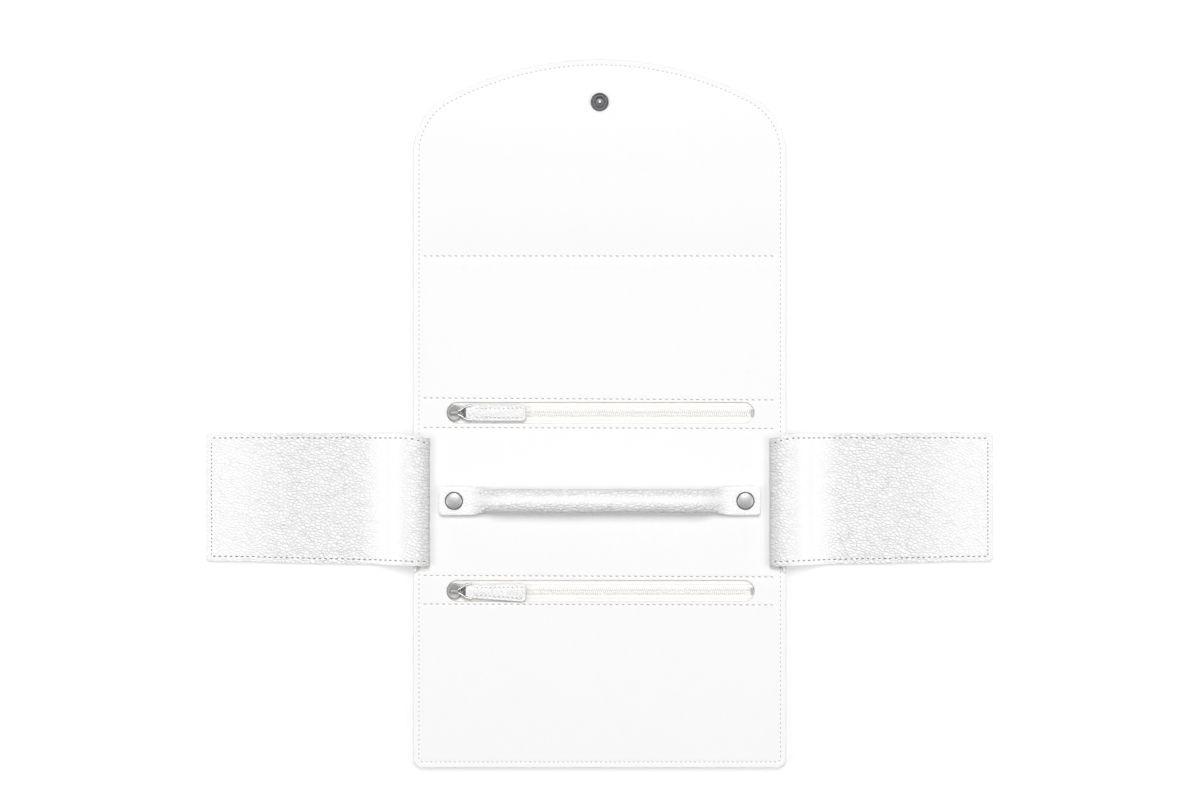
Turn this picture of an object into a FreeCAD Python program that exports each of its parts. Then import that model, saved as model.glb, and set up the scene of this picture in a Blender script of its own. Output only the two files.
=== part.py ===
import FreeCAD, Part
import math
import os

# Fold-up travel jewelry case of leather, lying open and flat, in millimetres.
# X runs across the case, Y from its free lower edge to the flap tip, Z up. The origin is the centre
# of the case's extent, on the surface that it lies on.

# Main sheet: lengths of its stretches along Y, and its outline
PANEL_W = 194.0
LOWER_L = 85.0
MIDDLE_L = 92.6
UPPER_L = 97.0
FLAP_L = 37.4
CORNER_R = 5.0
SHOULDER_R = 33.0
TIP_R = 170.0
BEND_GAP = 0.1

# Layers of the sheet, from below
OUTER_T = 1.1
STIFFENER_T = 0.8
SEAM_T = 0.6
LINING_T = 1.1
SEAM_W = 6.0

# Ring bar
BAR_SIDE = 13.6
BAR_W = 12.2
BAR_H = 9.8
BAR_LIFT = 0.2
TAB_W = 15.0
TAB_T = 2.0
TAB_L = 16.0
TAB_CORNER_R = 3.0
NECK_L = 9.4
COVER_T = 1.0
PAD_END_L = 5.6
PAD_END_SHARE = 0.45
BAR_Y = -45.3
BAR_SNAP_INSET = 7.8

# Wings
WING_T = 1.8
WING_LEATHER_T = 1.0
WING_REACH = 114.2
WING_ROOT_W = 69.2
WING_TIP_TAPER = 2.6
WING_TOP_Y = -10.1
WING_CORNER_R = 1.5
WING_CUT_X = 8.1
WING_CUT_Y = 3.4
WING_LEVEL_L = 6.5
WING_DROP_RUN = 25.0
HINGE_INSET = 6.5
STRIP_T = 1.0
STRIP_SHIFT = 3.1
STRIP_LOOP_R = 2.0

# Gaps in the closed stack, from the bar up to the flap
WING_OVER_BAR = 0.3
WING_OVER_WING = 0.4
LOWER_OVER_WING = 0.7
UPPER_OVER_LOWER = 0.2
FLAP_OVER_MIDDLE = 0.4

# Snaps
SNAP_R = 4.7
SNAP_CAP_H = 1.6
SNAP_CAP_RIM = 0.6
STUD_R = 3.4
STUD_FLANGE_T = 0.25
STUD_POST_R = 1.7
SOCKET_H = 0.85
SHANK_R = 1.0
RIVET_R = 3.0
RIVET_T = 0.4
SNAP_PLAY = 0.1
CLOSURE_Y_FROM_TIP = 22.3
CLOSURE_SOCKET_H = 1.6
CLOSURE_BORE_R = 2.1
CLOSURE_BORE_DEPTH = 1.3
CLOSURE_POST_R = 1.9
CLOSURE_POST_INSET = 0.3
CLOSURE_PLATE_R = 7.0
CLOSURE_WELL_PLAY = 0.7

# Zips
WINDOW_LEFT = 17.6
WINDOW_RIGHT = 16.6
TAPE_SEAM = 1.15
TAPE_END = 4.5
SLIT_W = 0.9
COIL_W = 1.25
COIL_H = 1.0
STOP_L = 1.2
STOP_INSET = 0.5
STOP_H = 0.05
UPPER_ZIP_INSET = 7.95
LOWER_ZIP_SHIFT = -0.5
SPINE_SIDE = 0.9
SLIDER_L = 7.3
SLIDER_W = 8.4
SLIDER_CORNER_R = 2.2
SLIDER_END_GAP = 0.25
PLATE_T = 0.75
PLATE_LIFT = 0.15
KEEL_W = 6.4
KEEL_T = 0.5
KEEL_GAP = 0.2
POST_W = 0.5
POST_L = 2.0
CHEEK_W = 0.7
CHEEK_L = 4.2
CHEEK_AHEAD = 0.5
CHEEK_GAP = 0.3
CHEEK_LIFT = 0.15
BRIDGE_W = 1.6
BRIDGE_L = 5.2
BRIDGE_H = 2.1
PIN_AHEAD = 1.6
PIN_RISE = 0.8
WIRE_R = 0.45
WIRE_PLAY = 0.25
LINK_L = 7.7
LINK_NEAR_W = 3.0
LINK_FAR_W = 7.4
PULL_T = 1.6
PULL_LIFT = 0.35
PULL_NECK_L = 4.4
PULL_NECK_W = 4.0
PULL_L = 31.2
PULL_CORNER_R = 1.6
PULL_START = 5.9

# Each zip's pull: width at the neck, width at the free end and turn about its link, in degrees
UPPER_PULL = (8.5, 8.7, 0.0)
LOWER_PULL = (7.8, 9.6, -1.5)

V = FreeCAD.Vector

# Heights of the layers
Z_OUTER = OUTER_T
Z_STIFFENER = Z_OUTER + STIFFENER_T
Z_SEAM = Z_STIFFENER + SEAM_T
PANEL_T = Z_SEAM + LINING_T

# The spines are as deep as what lies folded between the panels
BAR_TOP = PANEL_T + BAR_LIFT + BAR_H
LEFT_CLOSED_Z = BAR_TOP + WING_OVER_BAR
RIGHT_CLOSED_Z = LEFT_CLOSED_Z + WING_T + WING_OVER_WING
LOWER_SPINE = RIGHT_CLOSED_Z + WING_T + LOWER_OVER_WING - PANEL_T
MIDDLE_SPINE = LOWER_SPINE + PANEL_T + UPPER_OVER_LOWER
FLAP_SPINE = MIDDLE_SPINE + PANEL_T + FLAP_OVER_MIDDLE

# Bend lines along Y
TOTAL_L = LOWER_L + LOWER_SPINE + MIDDLE_L + MIDDLE_SPINE + UPPER_L + FLAP_SPINE + FLAP_L
Y_END = -TOTAL_L / 2
Y_LOWER = Y_END + LOWER_L
Y_MIDDLE = Y_LOWER + LOWER_SPINE
Y_MIDDLE_TOP = Y_MIDDLE + MIDDLE_L
Y_UPPER = Y_MIDDLE_TOP + MIDDLE_SPINE
Y_UPPER_TOP = Y_UPPER + UPPER_L
Y_FLAP = Y_UPPER_TOP + FLAP_SPINE
Y_TIP = Y_FLAP + FLAP_L

# Zip windows and tapes fill the lower spine between its bends
TAPE_W = LOWER_SPINE - 2 * SPINE_SIDE
WINDOW_H = TAPE_W - 2 * TAPE_SEAM
WINDOW_X0 = WINDOW_LEFT - PANEL_W / 2
WINDOW_X1 = PANEL_W / 2 - WINDOW_RIGHT
UPPER_ZIP_Y = Y_MIDDLE_TOP - UPPER_ZIP_INSET
LOWER_ZIP_Y = (Y_LOWER + Y_MIDDLE) / 2 + LOWER_ZIP_SHIFT
SLIDER_X = WINDOW_X0 + SLIDER_END_GAP + SLIDER_L / 2

# Wing hinges, bar ends and the closure's two halves, which meet when the case is closed
HINGE_X = PANEL_W / 2 - HINGE_INSET
WING_LEVEL_Z = PANEL_T + 2 * STRIP_LOOP_R
BAR_END_X = PANEL_W / 2 - BAR_SIDE
BAR_SNAP_X = BAR_END_X - BAR_SNAP_INSET
NECK_X = BAR_END_X - TAB_L
TAB_Z = PANEL_T + STUD_FLANGE_T + SNAP_PLAY + SOCKET_H
CLOSURE_FLAP_Y = Y_TIP - CLOSURE_Y_FROM_TIP
CLOSURE_MIDDLE_Y = Y_MIDDLE_TOP - (Y_UPPER_TOP - (CLOSURE_FLAP_Y - Y_FLAP) - Y_UPPER)


def save(name, *solids):
    """Writes one node, made of one or more separate solids."""
    shape = solids[0] if len(solids) == 1 else Part.makeCompound(list(solids))
    shape.exportStep("parts/" + name + ".step")


def box(x0, x1, y0, y1, z0, z1):
    return Part.makeBox(x1 - x0, y1 - y0, z1 - z0, V(x0, y0, z0))


def disc(x, y, r, z0, z1):
    return Part.makeCylinder(r, z1 - z0, V(x, y, z0))


def block(length, width, z0, z1, corner):
    """A plate centred on the Z axis with round corners in plan."""
    shape = box(-length / 2, length / 2, -width / 2, width / 2, z0, z1)
    upright = [e for e in shape.Edges if abs(e.tangentAt(e.FirstParameter).z) > 0.5]
    return shape.makeFillet(corner, upright)


def rod(r, *points):
    """A round wire through the points, with round corners."""
    parts = [Part.makeSphere(r, p) for p in points]
    for a, b in zip(points, points[1:]):
        parts.append(Part.makeCylinder(r, (b - a).Length, a, b - a))
    return parts[0].multiFuse(parts[1:])


def arc(a, b, c):
    return Part.Arc(a, b, c).toShape()


def sheet_outline():
    """Plan outline of the whole main sheet: two round corners below, an arched flap above."""
    half = PANEL_W / 2
    tip_centre = Y_TIP - TIP_R
    shoulder_x = half - SHOULDER_R
    rise = math.sqrt((TIP_R - SHOULDER_R) ** 2 - shoulder_x ** 2)
    shoulder_y = tip_centre + rise
    lean = math.atan2(shoulder_x, rise)
    touch = V(TIP_R * math.sin(lean), tip_centre + TIP_R * math.cos(lean), 0)
    turn = (math.pi / 2 + lean) / 2
    elbow = V(shoulder_x + SHOULDER_R * math.sin(turn), shoulder_y + SHOULDER_R * math.cos(turn), 0)
    foot = CORNER_R * (1 - math.sqrt(0.5))
    low = Y_END + CORNER_R
    edges = [
        Part.makeLine(V(-half, shoulder_y, 0), V(-half, low, 0)),
        arc(V(-half, low, 0), V(-half + foot, Y_END + foot, 0), V(-half + CORNER_R, Y_END, 0)),
        Part.makeLine(V(-half + CORNER_R, Y_END, 0), V(half - CORNER_R, Y_END, 0)),
        arc(V(half - CORNER_R, Y_END, 0), V(half - foot, Y_END + foot, 0), V(half, low, 0)),
        Part.makeLine(V(half, low, 0), V(half, shoulder_y, 0)),
        arc(V(half, shoulder_y, 0), elbow, touch),
        arc(touch, V(0, Y_TIP, 0), V(-touch.x, touch.y, 0)),
        arc(V(-touch.x, touch.y, 0), V(-elbow.x, elbow.y, 0), V(-half, shoulder_y, 0)),
    ]
    return Part.Face(Part.Wire(edges))


OUTLINE = sheet_outline()


def stretch(y0, y1, z0, z1, side=0.0):
    """One layer of the sheet between two bend lines, or only its two sides, each `side` wide."""
    plate = OUTLINE.extrude(V(0, 0, z1 - z0)).translated(V(0, 0, z0))
    half = PANEL_W
    gap = BEND_GAP / 2
    if not side:
        return plate.common(box(-half, half, y0 + gap, y1 - gap, z0, z1))
    edge = PANEL_W / 2 - side
    return [plate.common(box(*ends, y0 + gap, y1 - gap, z0, z1)) for ends in ((-half, -edge), (edge, half))]


def window(y, z0, z1):
    """The round-ended cut-out of a zip."""
    r = WINDOW_H / 2
    middle = box(WINDOW_X0 + r, WINDOW_X1 - r, y - r, y + r, z0, z1)
    return middle.multiFuse([disc(x, y, r, z0, z1) for x in (WINDOW_X0 + r, WINDOW_X1 - r)])


def tape_room(y, z0, z1):
    """Room for a zip tape and the slider's keel below it."""
    half = TAPE_W / 2 - TAPE_SEAM / 2
    return box(WINDOW_X0 - TAPE_END / 2, WINDOW_X1 + TAPE_END / 2, y - half, y + half, z0, z1)


def panels():
    """The seven stretches of hide and lining, with what is sewn between them."""
    well = disc(0, CLOSURE_MIDDLE_Y, SNAP_R + CLOSURE_WELL_PLAY, 0, Z_STIFFENER)
    upper_window = window(UPPER_ZIP_Y, Z_SEAM, PANEL_T)
    lower_window = window(LOWER_ZIP_Y, Z_SEAM, PANEL_T)
    shanks = [disc(x, BAR_Y, SHANK_R, Z_STIFFENER, PANEL_T) for x in (-BAR_SNAP_X, BAR_SNAP_X)]
    flap_hole = disc(0, CLOSURE_FLAP_Y, SHANK_R, Z_OUTER, PANEL_T)
    flap_well = disc(0, CLOSURE_FLAP_Y, RIVET_R, Z_OUTER, Z_OUTER + RIVET_T)

    stretches = {
        "lower": (Y_END, Y_LOWER),
        "lower_spine": (Y_LOWER, Y_MIDDLE),
        "middle": (Y_MIDDLE, Y_MIDDLE_TOP),
        "middle_spine": (Y_MIDDLE_TOP, Y_UPPER),
        "upper": (Y_UPPER, Y_UPPER_TOP),
        "flap_spine": (Y_UPPER_TOP, Y_FLAP),
        "flap": (Y_FLAP, Y_TIP),
    }
    outer_cuts = {"middle": [well]}
    stiffener_cuts = {
        "lower_spine": [tape_room(LOWER_ZIP_Y, Z_OUTER, Z_STIFFENER)],
        "middle": [well, tape_room(UPPER_ZIP_Y, Z_OUTER, Z_STIFFENER)],
        "flap": [flap_hole, flap_well],
    }
    lining_cuts = {"lower_spine": [lower_window], "middle": [upper_window, *shanks], "flap": [flap_hole]}

    for name, (y0, y1) in stretches.items():
        outer = stretch(y0, y1, 0, Z_OUTER)
        stiffener = stretch(y0, y1, Z_OUTER, Z_STIFFENER)
        lining = stretch(y0, y1, Z_SEAM, PANEL_T)
        for cut in outer_cuts.get(name, []):
            outer = outer.cut(cut)
        for cut in stiffener_cuts.get(name, []):
            stiffener = stiffener.cut(cut)
        for cut in lining_cuts.get(name, []):
            lining = lining.cut(cut)
        save(name + "_outer_leather", outer)
        save(name + "_stiffener", stiffener)
        save(name + "_lining", lining)
        seams = stretch(y0, y1, Z_STIFFENER, Z_SEAM, SEAM_W)
        if name in ("lower", "flap"):
            rim = (Y_END, Y_END + SEAM_W) if name == "lower" else (Y_TIP - SEAM_W, Y_TIP)
            across = box(-PANEL_W / 2 + SEAM_W, PANEL_W / 2 - SEAM_W, *rim, Z_STIFFENER, Z_SEAM)
            seams.append(stretch(y0, y1, Z_STIFFENER, Z_SEAM).common(across))
        save(name + "_seam_allowance", *[s for s in seams if s.Volume > 0])


def zip_parts(name, y, pull):
    """One zip: tape halves, coil rows, end stops, slider, wire link and leather pull."""
    slit = SLIT_W / 2
    x0 = WINDOW_X0 - TAPE_END
    x1 = WINDOW_X1 + TAPE_END
    stop_x0 = WINDOW_X0 + STOP_INSET
    stop_x1 = WINDOW_X1 - STOP_INSET - STOP_L
    coil_out = slit + COIL_W
    coil_top = Z_SEAM + COIL_H
    tapes = []
    rows = []
    for side in (-1, 1):
        inner, outer = sorted((y + side * slit, y + side * TAPE_W / 2))
        tapes.append(box(x0, x1, inner, outer, Z_STIFFENER, Z_SEAM))
        inner, outer = sorted((y + side * slit, y + side * coil_out))
        rows.append(box(stop_x0 + STOP_L, stop_x1, inner, outer, Z_SEAM, coil_top))
    stops = []
    for x in (stop_x0, stop_x1):
        stops.append(box(x, x + STOP_L, y - coil_out, y + coil_out, Z_SEAM, coil_top + STOP_H))
    save(name + "_zip_tape", *tapes)
    save(name + "_zip_coil", *rows)
    save(name + "_zip_stops", *stops)

    place = V(SLIDER_X, y, 0)
    plate_z = PANEL_T + PLATE_LIFT
    plate_top = plate_z + PLATE_T
    keel_top = Z_STIFFENER - KEEL_GAP
    pin = V(PIN_AHEAD, 0, plate_top + PIN_RISE)
    plate = block(SLIDER_L, SLIDER_W, plate_z, plate_top, SLIDER_CORNER_R)
    keel = block(KEEL_W, KEEL_W, keel_top - KEEL_T, keel_top, SLIDER_CORNER_R)
    post_x = -KEEL_W / 2 + SLIDER_CORNER_R / 2
    post = box(post_x, post_x + POST_L, -POST_W / 2, POST_W / 2, keel_top - KEEL_T, plate_z)
    cheek_y = coil_out + CHEEK_GAP
    cheek_x = CHEEK_AHEAD - CHEEK_L / 2
    cheek = box(cheek_x, cheek_x + CHEEK_L, cheek_y, cheek_y + CHEEK_W, Z_SEAM + CHEEK_LIFT, plate_z)
    bridge = block(BRIDGE_L, BRIDGE_W, plate_top, plate_top + BRIDGE_H, BRIDGE_W / 3)
    eye = Part.makeCylinder(WIRE_R + WIRE_PLAY, BRIDGE_W, pin - V(0, BRIDGE_W / 2, 0), V(0, 1, 0))
    slider = plate.multiFuse([keel, post, cheek, cheek.mirror(V(0, 0, 0), V(0, 1, 0)), bridge]).cut(eye)
    save(name + "_zip_slider", slider.removeSplitter().translated(place))

    pull_z = PANEL_T + PULL_LIFT
    far = V(PIN_AHEAD + LINK_L, LINK_FAR_W / 2, pull_z + PULL_T / 2)
    near = pin + V(0, LINK_NEAR_W / 2, 0)
    corners = (near, far, V(far.x, -far.y, far.z), V(near.x, -near.y, near.z), near)
    link = rod(WIRE_R, *corners)
    groove = rod(WIRE_R + SNAP_PLAY, *corners)

    neck_w, end_w, turn = pull
    body_x = PULL_START + PULL_NECK_L
    end_x = PULL_START + PULL_L
    outline = [
        V(PULL_START, PULL_NECK_W / 2, pull_z),
        V(body_x, neck_w / 2, pull_z),
        V(end_x, end_w / 2, pull_z),
        V(end_x, -end_w / 2, pull_z),
        V(body_x, -neck_w / 2, pull_z),
        V(PULL_START, -PULL_NECK_W / 2, pull_z),
    ]
    tab = Part.Face(Part.makePolygon(outline + outline[:1])).extrude(V(0, 0, PULL_T))
    tail = [e for e in tab.Edges if e.Length - PULL_T < 1e-6 and abs(e.CenterOfMass.x - end_x) < 1e-6]
    tab = tab.makeFillet(PULL_CORNER_R, [e for e in tail if abs(e.CenterOfMass.y) > end_w / 4])
    tab = tab.rotated(V(far.x, 0, 0), V(0, 0, 1), turn).cut(groove)
    save(name + "_pull_link", link.translated(place))
    save(name + "_pull_tab", tab.translated(place))


def wing_layer(t0, t1):
    """Section of a wing between two depths below its grained face, drawn outward from its hinge.

    The wing leaves the hinge strip level, drops in an S of two equal arcs and lies on the ground.
    """
    mid = WING_T / 2
    drop = WING_LEVEL_Z - WING_T
    turn = 2 * math.atan2(drop, WING_DROP_RUN)
    r = WING_DROP_RUN / (2 * math.sin(turn))
    low_x = WING_LEVEL_L + WING_DROP_RUN
    crest = V(WING_LEVEL_L, 0, WING_LEVEL_Z - mid - r)
    trough = V(low_x, 0, mid + r)

    def at(centre, radius, angle):
        return centre + V(radius * math.sin(angle), 0, radius * math.cos(angle))

    def run(depth):
        over = r + mid - depth
        under = r - mid + depth
        start = V(0, 0, WING_LEVEL_Z - depth)
        level = at(crest, over, 0)
        join = at(crest, over, turn)
        floor = at(trough, under, math.pi)
        end = V(WING_REACH, 0, WING_T - depth)
        return [
            Part.makeLine(start, level),
            arc(level, at(crest, over, turn / 2), join),
            arc(join, at(trough, under, math.pi + turn / 2), floor),
            Part.makeLine(floor, end),
        ], start, end

    top, top_start, top_end = run(t0)
    below, low_start, low_end = run(t1)
    ends = [Part.makeLine(top_end, low_end), Part.makeLine(low_start, top_start)]
    return Part.Face(Part.Wire(Part.__sortEdges__(top + below + ends)))


def wing_plan():
    """Plan of a wing, outward from its hinge, as a tall prism."""
    low = WING_TOP_Y - WING_ROOT_W
    points = [
        V(0, WING_TOP_Y - WING_CUT_Y, 0),
        V(WING_CUT_X, WING_TOP_Y, 0),
        V(WING_REACH, WING_TOP_Y, 0),
        V(WING_REACH, low + WING_TIP_TAPER, 0),
        V(0, low, 0),
    ]
    prism = Part.Face(Part.makePolygon(points + points[:1])).extrude(V(0, 0, 2 * WING_LEVEL_Z))
    upright = [e for e in prism.Edges if abs(e.tangentAt(e.FirstParameter).z) > 0.5]
    tips = [e for e in upright if abs(e.CenterOfMass.x - WING_REACH) < 1e-6]
    return prism.makeFillet(WING_CORNER_R, tips)


def hinge_strip():
    """Sewn strip on the panel's side with its rolled edge, outward from the hinge line."""
    r = STRIP_LOOP_R
    centre = PANEL_T + r
    inner = r - STRIP_T
    y0 = WING_TOP_Y - STRIP_SHIFT - WING_ROOT_W
    edges = [
        Part.makeLine(V(HINGE_INSET, 0, PANEL_T), V(-BEND_GAP, 0, PANEL_T)),
        arc(V(-BEND_GAP, 0, PANEL_T), V(-BEND_GAP - r, 0, centre), V(-BEND_GAP, 0, centre + r)),
        Part.makeLine(V(-BEND_GAP, 0, centre + r), V(-BEND_GAP, 0, centre + inner)),
        arc(V(-BEND_GAP, 0, centre + inner), V(-BEND_GAP - inner, 0, centre), V(-BEND_GAP, 0, centre - inner)),
        Part.makeLine(V(-BEND_GAP, 0, centre - inner), V(HINGE_INSET, 0, centre - inner)),
        Part.makeLine(V(HINGE_INSET, 0, centre - inner), V(HINGE_INSET, 0, PANEL_T)),
    ]
    face = Part.Face(Part.Wire(edges)).translated(V(0, y0, 0))
    return face.extrude(V(0, WING_ROOT_W, 0))


def wings():
    """Both wings, spread out, and the strips that carry them."""
    plan = wing_plan()
    span = V(0, 2 * WING_ROOT_W, 0)
    below = V(0, WING_TOP_Y - 1.5 * WING_ROOT_W, 0)
    layers = {"leather": (0, WING_LEATHER_T), "backing": (WING_LEATHER_T, WING_T)}
    for layer, depths in layers.items():
        solid = wing_layer(*depths).translated(below).extrude(span).common(plan)
        right = solid.translated(V(HINGE_X, 0, 0))
        save("right_wing_" + layer, right)
        save("left_wing_" + layer, right.mirror(V(0, 0, 0), V(1, 0, 0)))
    strip = hinge_strip().translated(V(HINGE_X, 0, 0))
    save("right_wing_hinge_strip", strip)
    save("left_wing_hinge_strip", strip.mirror(V(0, 0, 0), V(1, 0, 0)))


def oval(x, width, z0, z1, corner):
    """A round-cornered section of the ring bar across X."""
    w = width / 2
    k = corner * (1 - math.sqrt(0.5))

    def p(y, z):
        return V(x, BAR_Y + y, z)

    edges = [
        Part.makeLine(p(-w + corner, z0), p(w - corner, z0)),
        arc(p(w - corner, z0), p(w - k, z0 + k), p(w, z0 + corner)),
        Part.makeLine(p(w, z0 + corner), p(w, z1 - corner)),
        arc(p(w, z1 - corner), p(w - k, z1 - k), p(w - corner, z1)),
        Part.makeLine(p(w - corner, z1), p(-w + corner, z1)),
        arc(p(-w + corner, z1), p(-w + k, z1 - k), p(-w, z1 - corner)),
        Part.makeLine(p(-w, z1 - corner), p(-w, z0 + corner)),
        arc(p(-w, z0 + corner), p(-w + k, z0 + k), p(-w + corner, z0)),
    ]
    return Part.Wire(edges)


def bar_section(x, share, inset=0.0):
    """The bar's section where it has swollen by a share from flat tab to full tube."""
    full_z = PANEL_T + BAR_LIFT
    width = TAB_W + (BAR_W - TAB_W) * share - 2 * inset
    z0 = TAB_Z + (full_z - TAB_Z) * share + inset
    z1 = TAB_Z + TAB_T + (BAR_TOP - TAB_Z - TAB_T) * share - inset
    return oval(x, width, z0, z1, 0.48 * (z1 - z0))


def swell(x0, x1, low, high, inset=0.0, steps=6):
    """A soft neck from one swelling to another, eased at both ends."""
    sections = []
    for i in range(steps + 1):
        u = i / steps
        ease = u * u * (3 - 2 * u)
        sections.append(bar_section(x0 + (x1 - x0) * u, low + (high - low) * ease, inset))
    return Part.makeLoft(sections, True, False)


def bar_tab(side):
    """Flat end tab of the bar, with the hole for its snap."""
    tab = block(TAB_L, TAB_W, TAB_Z, TAB_Z + TAB_T, TAB_CORNER_R)
    square = box(-TAB_L / 2, 0, -TAB_W / 2, TAB_W / 2, TAB_Z, TAB_Z + TAB_T)
    tab = tab.fuse(square).removeSplitter().translated(V(BAR_END_X - TAB_L / 2, BAR_Y, 0))
    tab = tab.cut(disc(BAR_SNAP_X, BAR_Y, SHANK_R, TAB_Z, TAB_Z + TAB_T))
    return tab if side > 0 else tab.mirror(V(0, 0, 0), V(1, 0, 0))


def ring_bar():
    """Padded bar that lies over the middle panel, snapped down at both ends."""
    full_x = NECK_X - NECK_L
    pad_x = full_x - COVER_T
    start = -NECK_X + BEND_GAP
    tube = Part.Face(bar_section(-full_x, 1.0)).extrude(V(2 * full_x, 0, 0))
    skin = tube.multiFuse([swell(start, -full_x, 0, 1), swell(full_x, NECK_X, 1, 0)])
    core = Part.Face(bar_section(-pad_x, 1.0, COVER_T)).extrude(V(2 * pad_x, 0, 0))
    ends = [
        swell(-pad_x - PAD_END_L, -pad_x, PAD_END_SHARE, 1, COVER_T),
        swell(pad_x, pad_x + PAD_END_L, 1, PAD_END_SHARE, COVER_T),
    ]
    core = core.multiFuse(ends)
    cover = skin.fuse(bar_tab(1)).cut(core)
    save("ring_bar_core", core)
    save("ring_bar_cover", cover)
    save("ring_bar_left_tab", bar_tab(-1))

    dome_r = (SNAP_R ** 2 + (SNAP_CAP_H - SNAP_CAP_RIM) ** 2) / (2 * (SNAP_CAP_H - SNAP_CAP_RIM))
    tab_top = TAB_Z + TAB_T
    socket_z = PANEL_T + STUD_FLANGE_T + SNAP_PLAY
    for name, x in (("left", -BAR_SNAP_X), ("right", BAR_SNAP_X)):
        sphere = Part.makeSphere(dome_r, V(x, BAR_Y, tab_top + SNAP_CAP_H - dome_r))
        cap = disc(x, BAR_Y, SNAP_R, tab_top, tab_top + SNAP_CAP_H).common(sphere)
        cap = cap.fuse(disc(x, BAR_Y, SHANK_R, TAB_Z, tab_top))
        socket = disc(x, BAR_Y, STUD_R + SNAP_PLAY, socket_z, TAB_Z)
        socket = socket.cut(disc(x, BAR_Y, STUD_POST_R + SNAP_PLAY, socket_z, TAB_Z))
        stud = disc(x, BAR_Y, STUD_R, PANEL_T, PANEL_T + STUD_FLANGE_T)
        stud = stud.multiFuse([
            disc(x, BAR_Y, STUD_POST_R, PANEL_T, TAB_Z - SNAP_PLAY),
            disc(x, BAR_Y, SHANK_R, Z_STIFFENER, PANEL_T),
            disc(x, BAR_Y, RIVET_R, Z_STIFFENER, Z_STIFFENER + RIVET_T),
        ])
        save(name + "_bar_snap_cap", cap.removeSplitter())
        save(name + "_bar_snap_socket", socket)
        save(name + "_bar_snap_stud", stud.removeSplitter())


def closure():
    """Snap that holds the flap down: socket in the flap, sunk stud in the middle panel."""
    y = CLOSURE_FLAP_Y
    socket = disc(0, y, SNAP_R, PANEL_T, PANEL_T + CLOSURE_SOCKET_H)
    bore_z = PANEL_T + CLOSURE_SOCKET_H - CLOSURE_BORE_DEPTH
    socket = socket.cut(disc(0, y, CLOSURE_BORE_R, bore_z, PANEL_T + CLOSURE_SOCKET_H))
    rivet = disc(0, y, RIVET_R, Z_OUTER, Z_OUTER + RIVET_T).fuse(disc(0, y, SHANK_R, Z_OUTER, PANEL_T))
    save("flap_snap_socket", socket)
    save("flap_snap_rivet", rivet.removeSplitter())

    y = CLOSURE_MIDDLE_Y
    plate = disc(0, y, CLOSURE_PLATE_R, Z_STIFFENER, Z_SEAM)
    stud = disc(0, y, SNAP_R, Z_STIFFENER - STUD_FLANGE_T, Z_STIFFENER)
    stud = stud.fuse(disc(0, y, CLOSURE_POST_R, CLOSURE_POST_INSET, Z_STIFFENER))
    save("closure_stud_plate", plate)
    save("closure_stud", stud.removeSplitter())


os.makedirs("parts", exist_ok=True)
panels()
zip_parts("upper", UPPER_ZIP_Y, UPPER_PULL)
zip_parts("lower", LOWER_ZIP_Y, LOWER_PULL)
wings()
ring_bar()
closure()
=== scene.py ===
import bpy
import bmesh
import math
import random
from mathutils import Matrix, Vector, noise


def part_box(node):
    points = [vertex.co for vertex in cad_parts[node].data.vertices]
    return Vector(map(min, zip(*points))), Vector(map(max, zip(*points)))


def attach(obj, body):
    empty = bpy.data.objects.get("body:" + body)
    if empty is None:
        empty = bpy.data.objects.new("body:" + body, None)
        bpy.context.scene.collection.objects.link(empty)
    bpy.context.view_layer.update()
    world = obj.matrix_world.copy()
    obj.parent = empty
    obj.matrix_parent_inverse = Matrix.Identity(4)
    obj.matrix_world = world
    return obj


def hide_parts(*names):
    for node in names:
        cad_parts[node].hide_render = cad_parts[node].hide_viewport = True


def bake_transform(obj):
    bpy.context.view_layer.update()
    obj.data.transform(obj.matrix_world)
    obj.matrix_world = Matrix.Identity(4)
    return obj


# A fold-up travel jewelry case of white leather, open and flat, seen from straight above.
# All lengths are in metres. X runs across the case, Y towards the flap tip, Z up.

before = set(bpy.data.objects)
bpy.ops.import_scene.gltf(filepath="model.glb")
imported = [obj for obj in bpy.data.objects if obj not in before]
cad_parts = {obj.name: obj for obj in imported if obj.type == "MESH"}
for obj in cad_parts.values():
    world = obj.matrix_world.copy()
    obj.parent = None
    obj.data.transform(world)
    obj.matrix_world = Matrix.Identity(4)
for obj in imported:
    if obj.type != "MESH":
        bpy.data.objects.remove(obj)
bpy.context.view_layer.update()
BOXES = {name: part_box(name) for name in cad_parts}
MM = 0.001
CLOSE = 0.01 * MM
UP = Vector((0, 0, 1))


# Sizes read from the frame
def middle(name):
    low, high = BOXES[name]
    return (low + high) / 2


def radius(name):
    low, high = BOXES[name]
    return (high.x - low.x) / 2


HALF_W = BOXES["middle_lining"][1].x
Y_END = BOXES["lower_lining"][0].y
Y_TIP = BOXES["flap_lining"][1].y
HIDE_TOP = BOXES["middle_outer_leather"][1].z
LINING_LOW = BOXES["middle_lining"][0].z
PANEL_TOP = BOXES["middle_lining"][1].z

# Outline of the main sheet
CORNER_R = 5.0 * MM
SHOULDER_R = 33.0 * MM
TIP_R = 170.0 * MM
RIM_ROUND = 0.35 * MM
RIM_LEVEL = 0.93
CORE_INSET = 0.3 * MM
LAYER_GAP = 0.03 * MM
STUD_ROOM = 0.7 * MM

# Stitch rows across the lining: their places along Y at the left and the right side
CROSS_ROWS = (
    (81.9 * MM, 81.9 * MM),
    (8.1 * MM, 7.0 * MM),
    (-7.3 * MM, -7.8 * MM),
    (-84.2 * MM, -85.0 * MM),
    (-99.1 * MM, -99.6 * MM),
)

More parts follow.
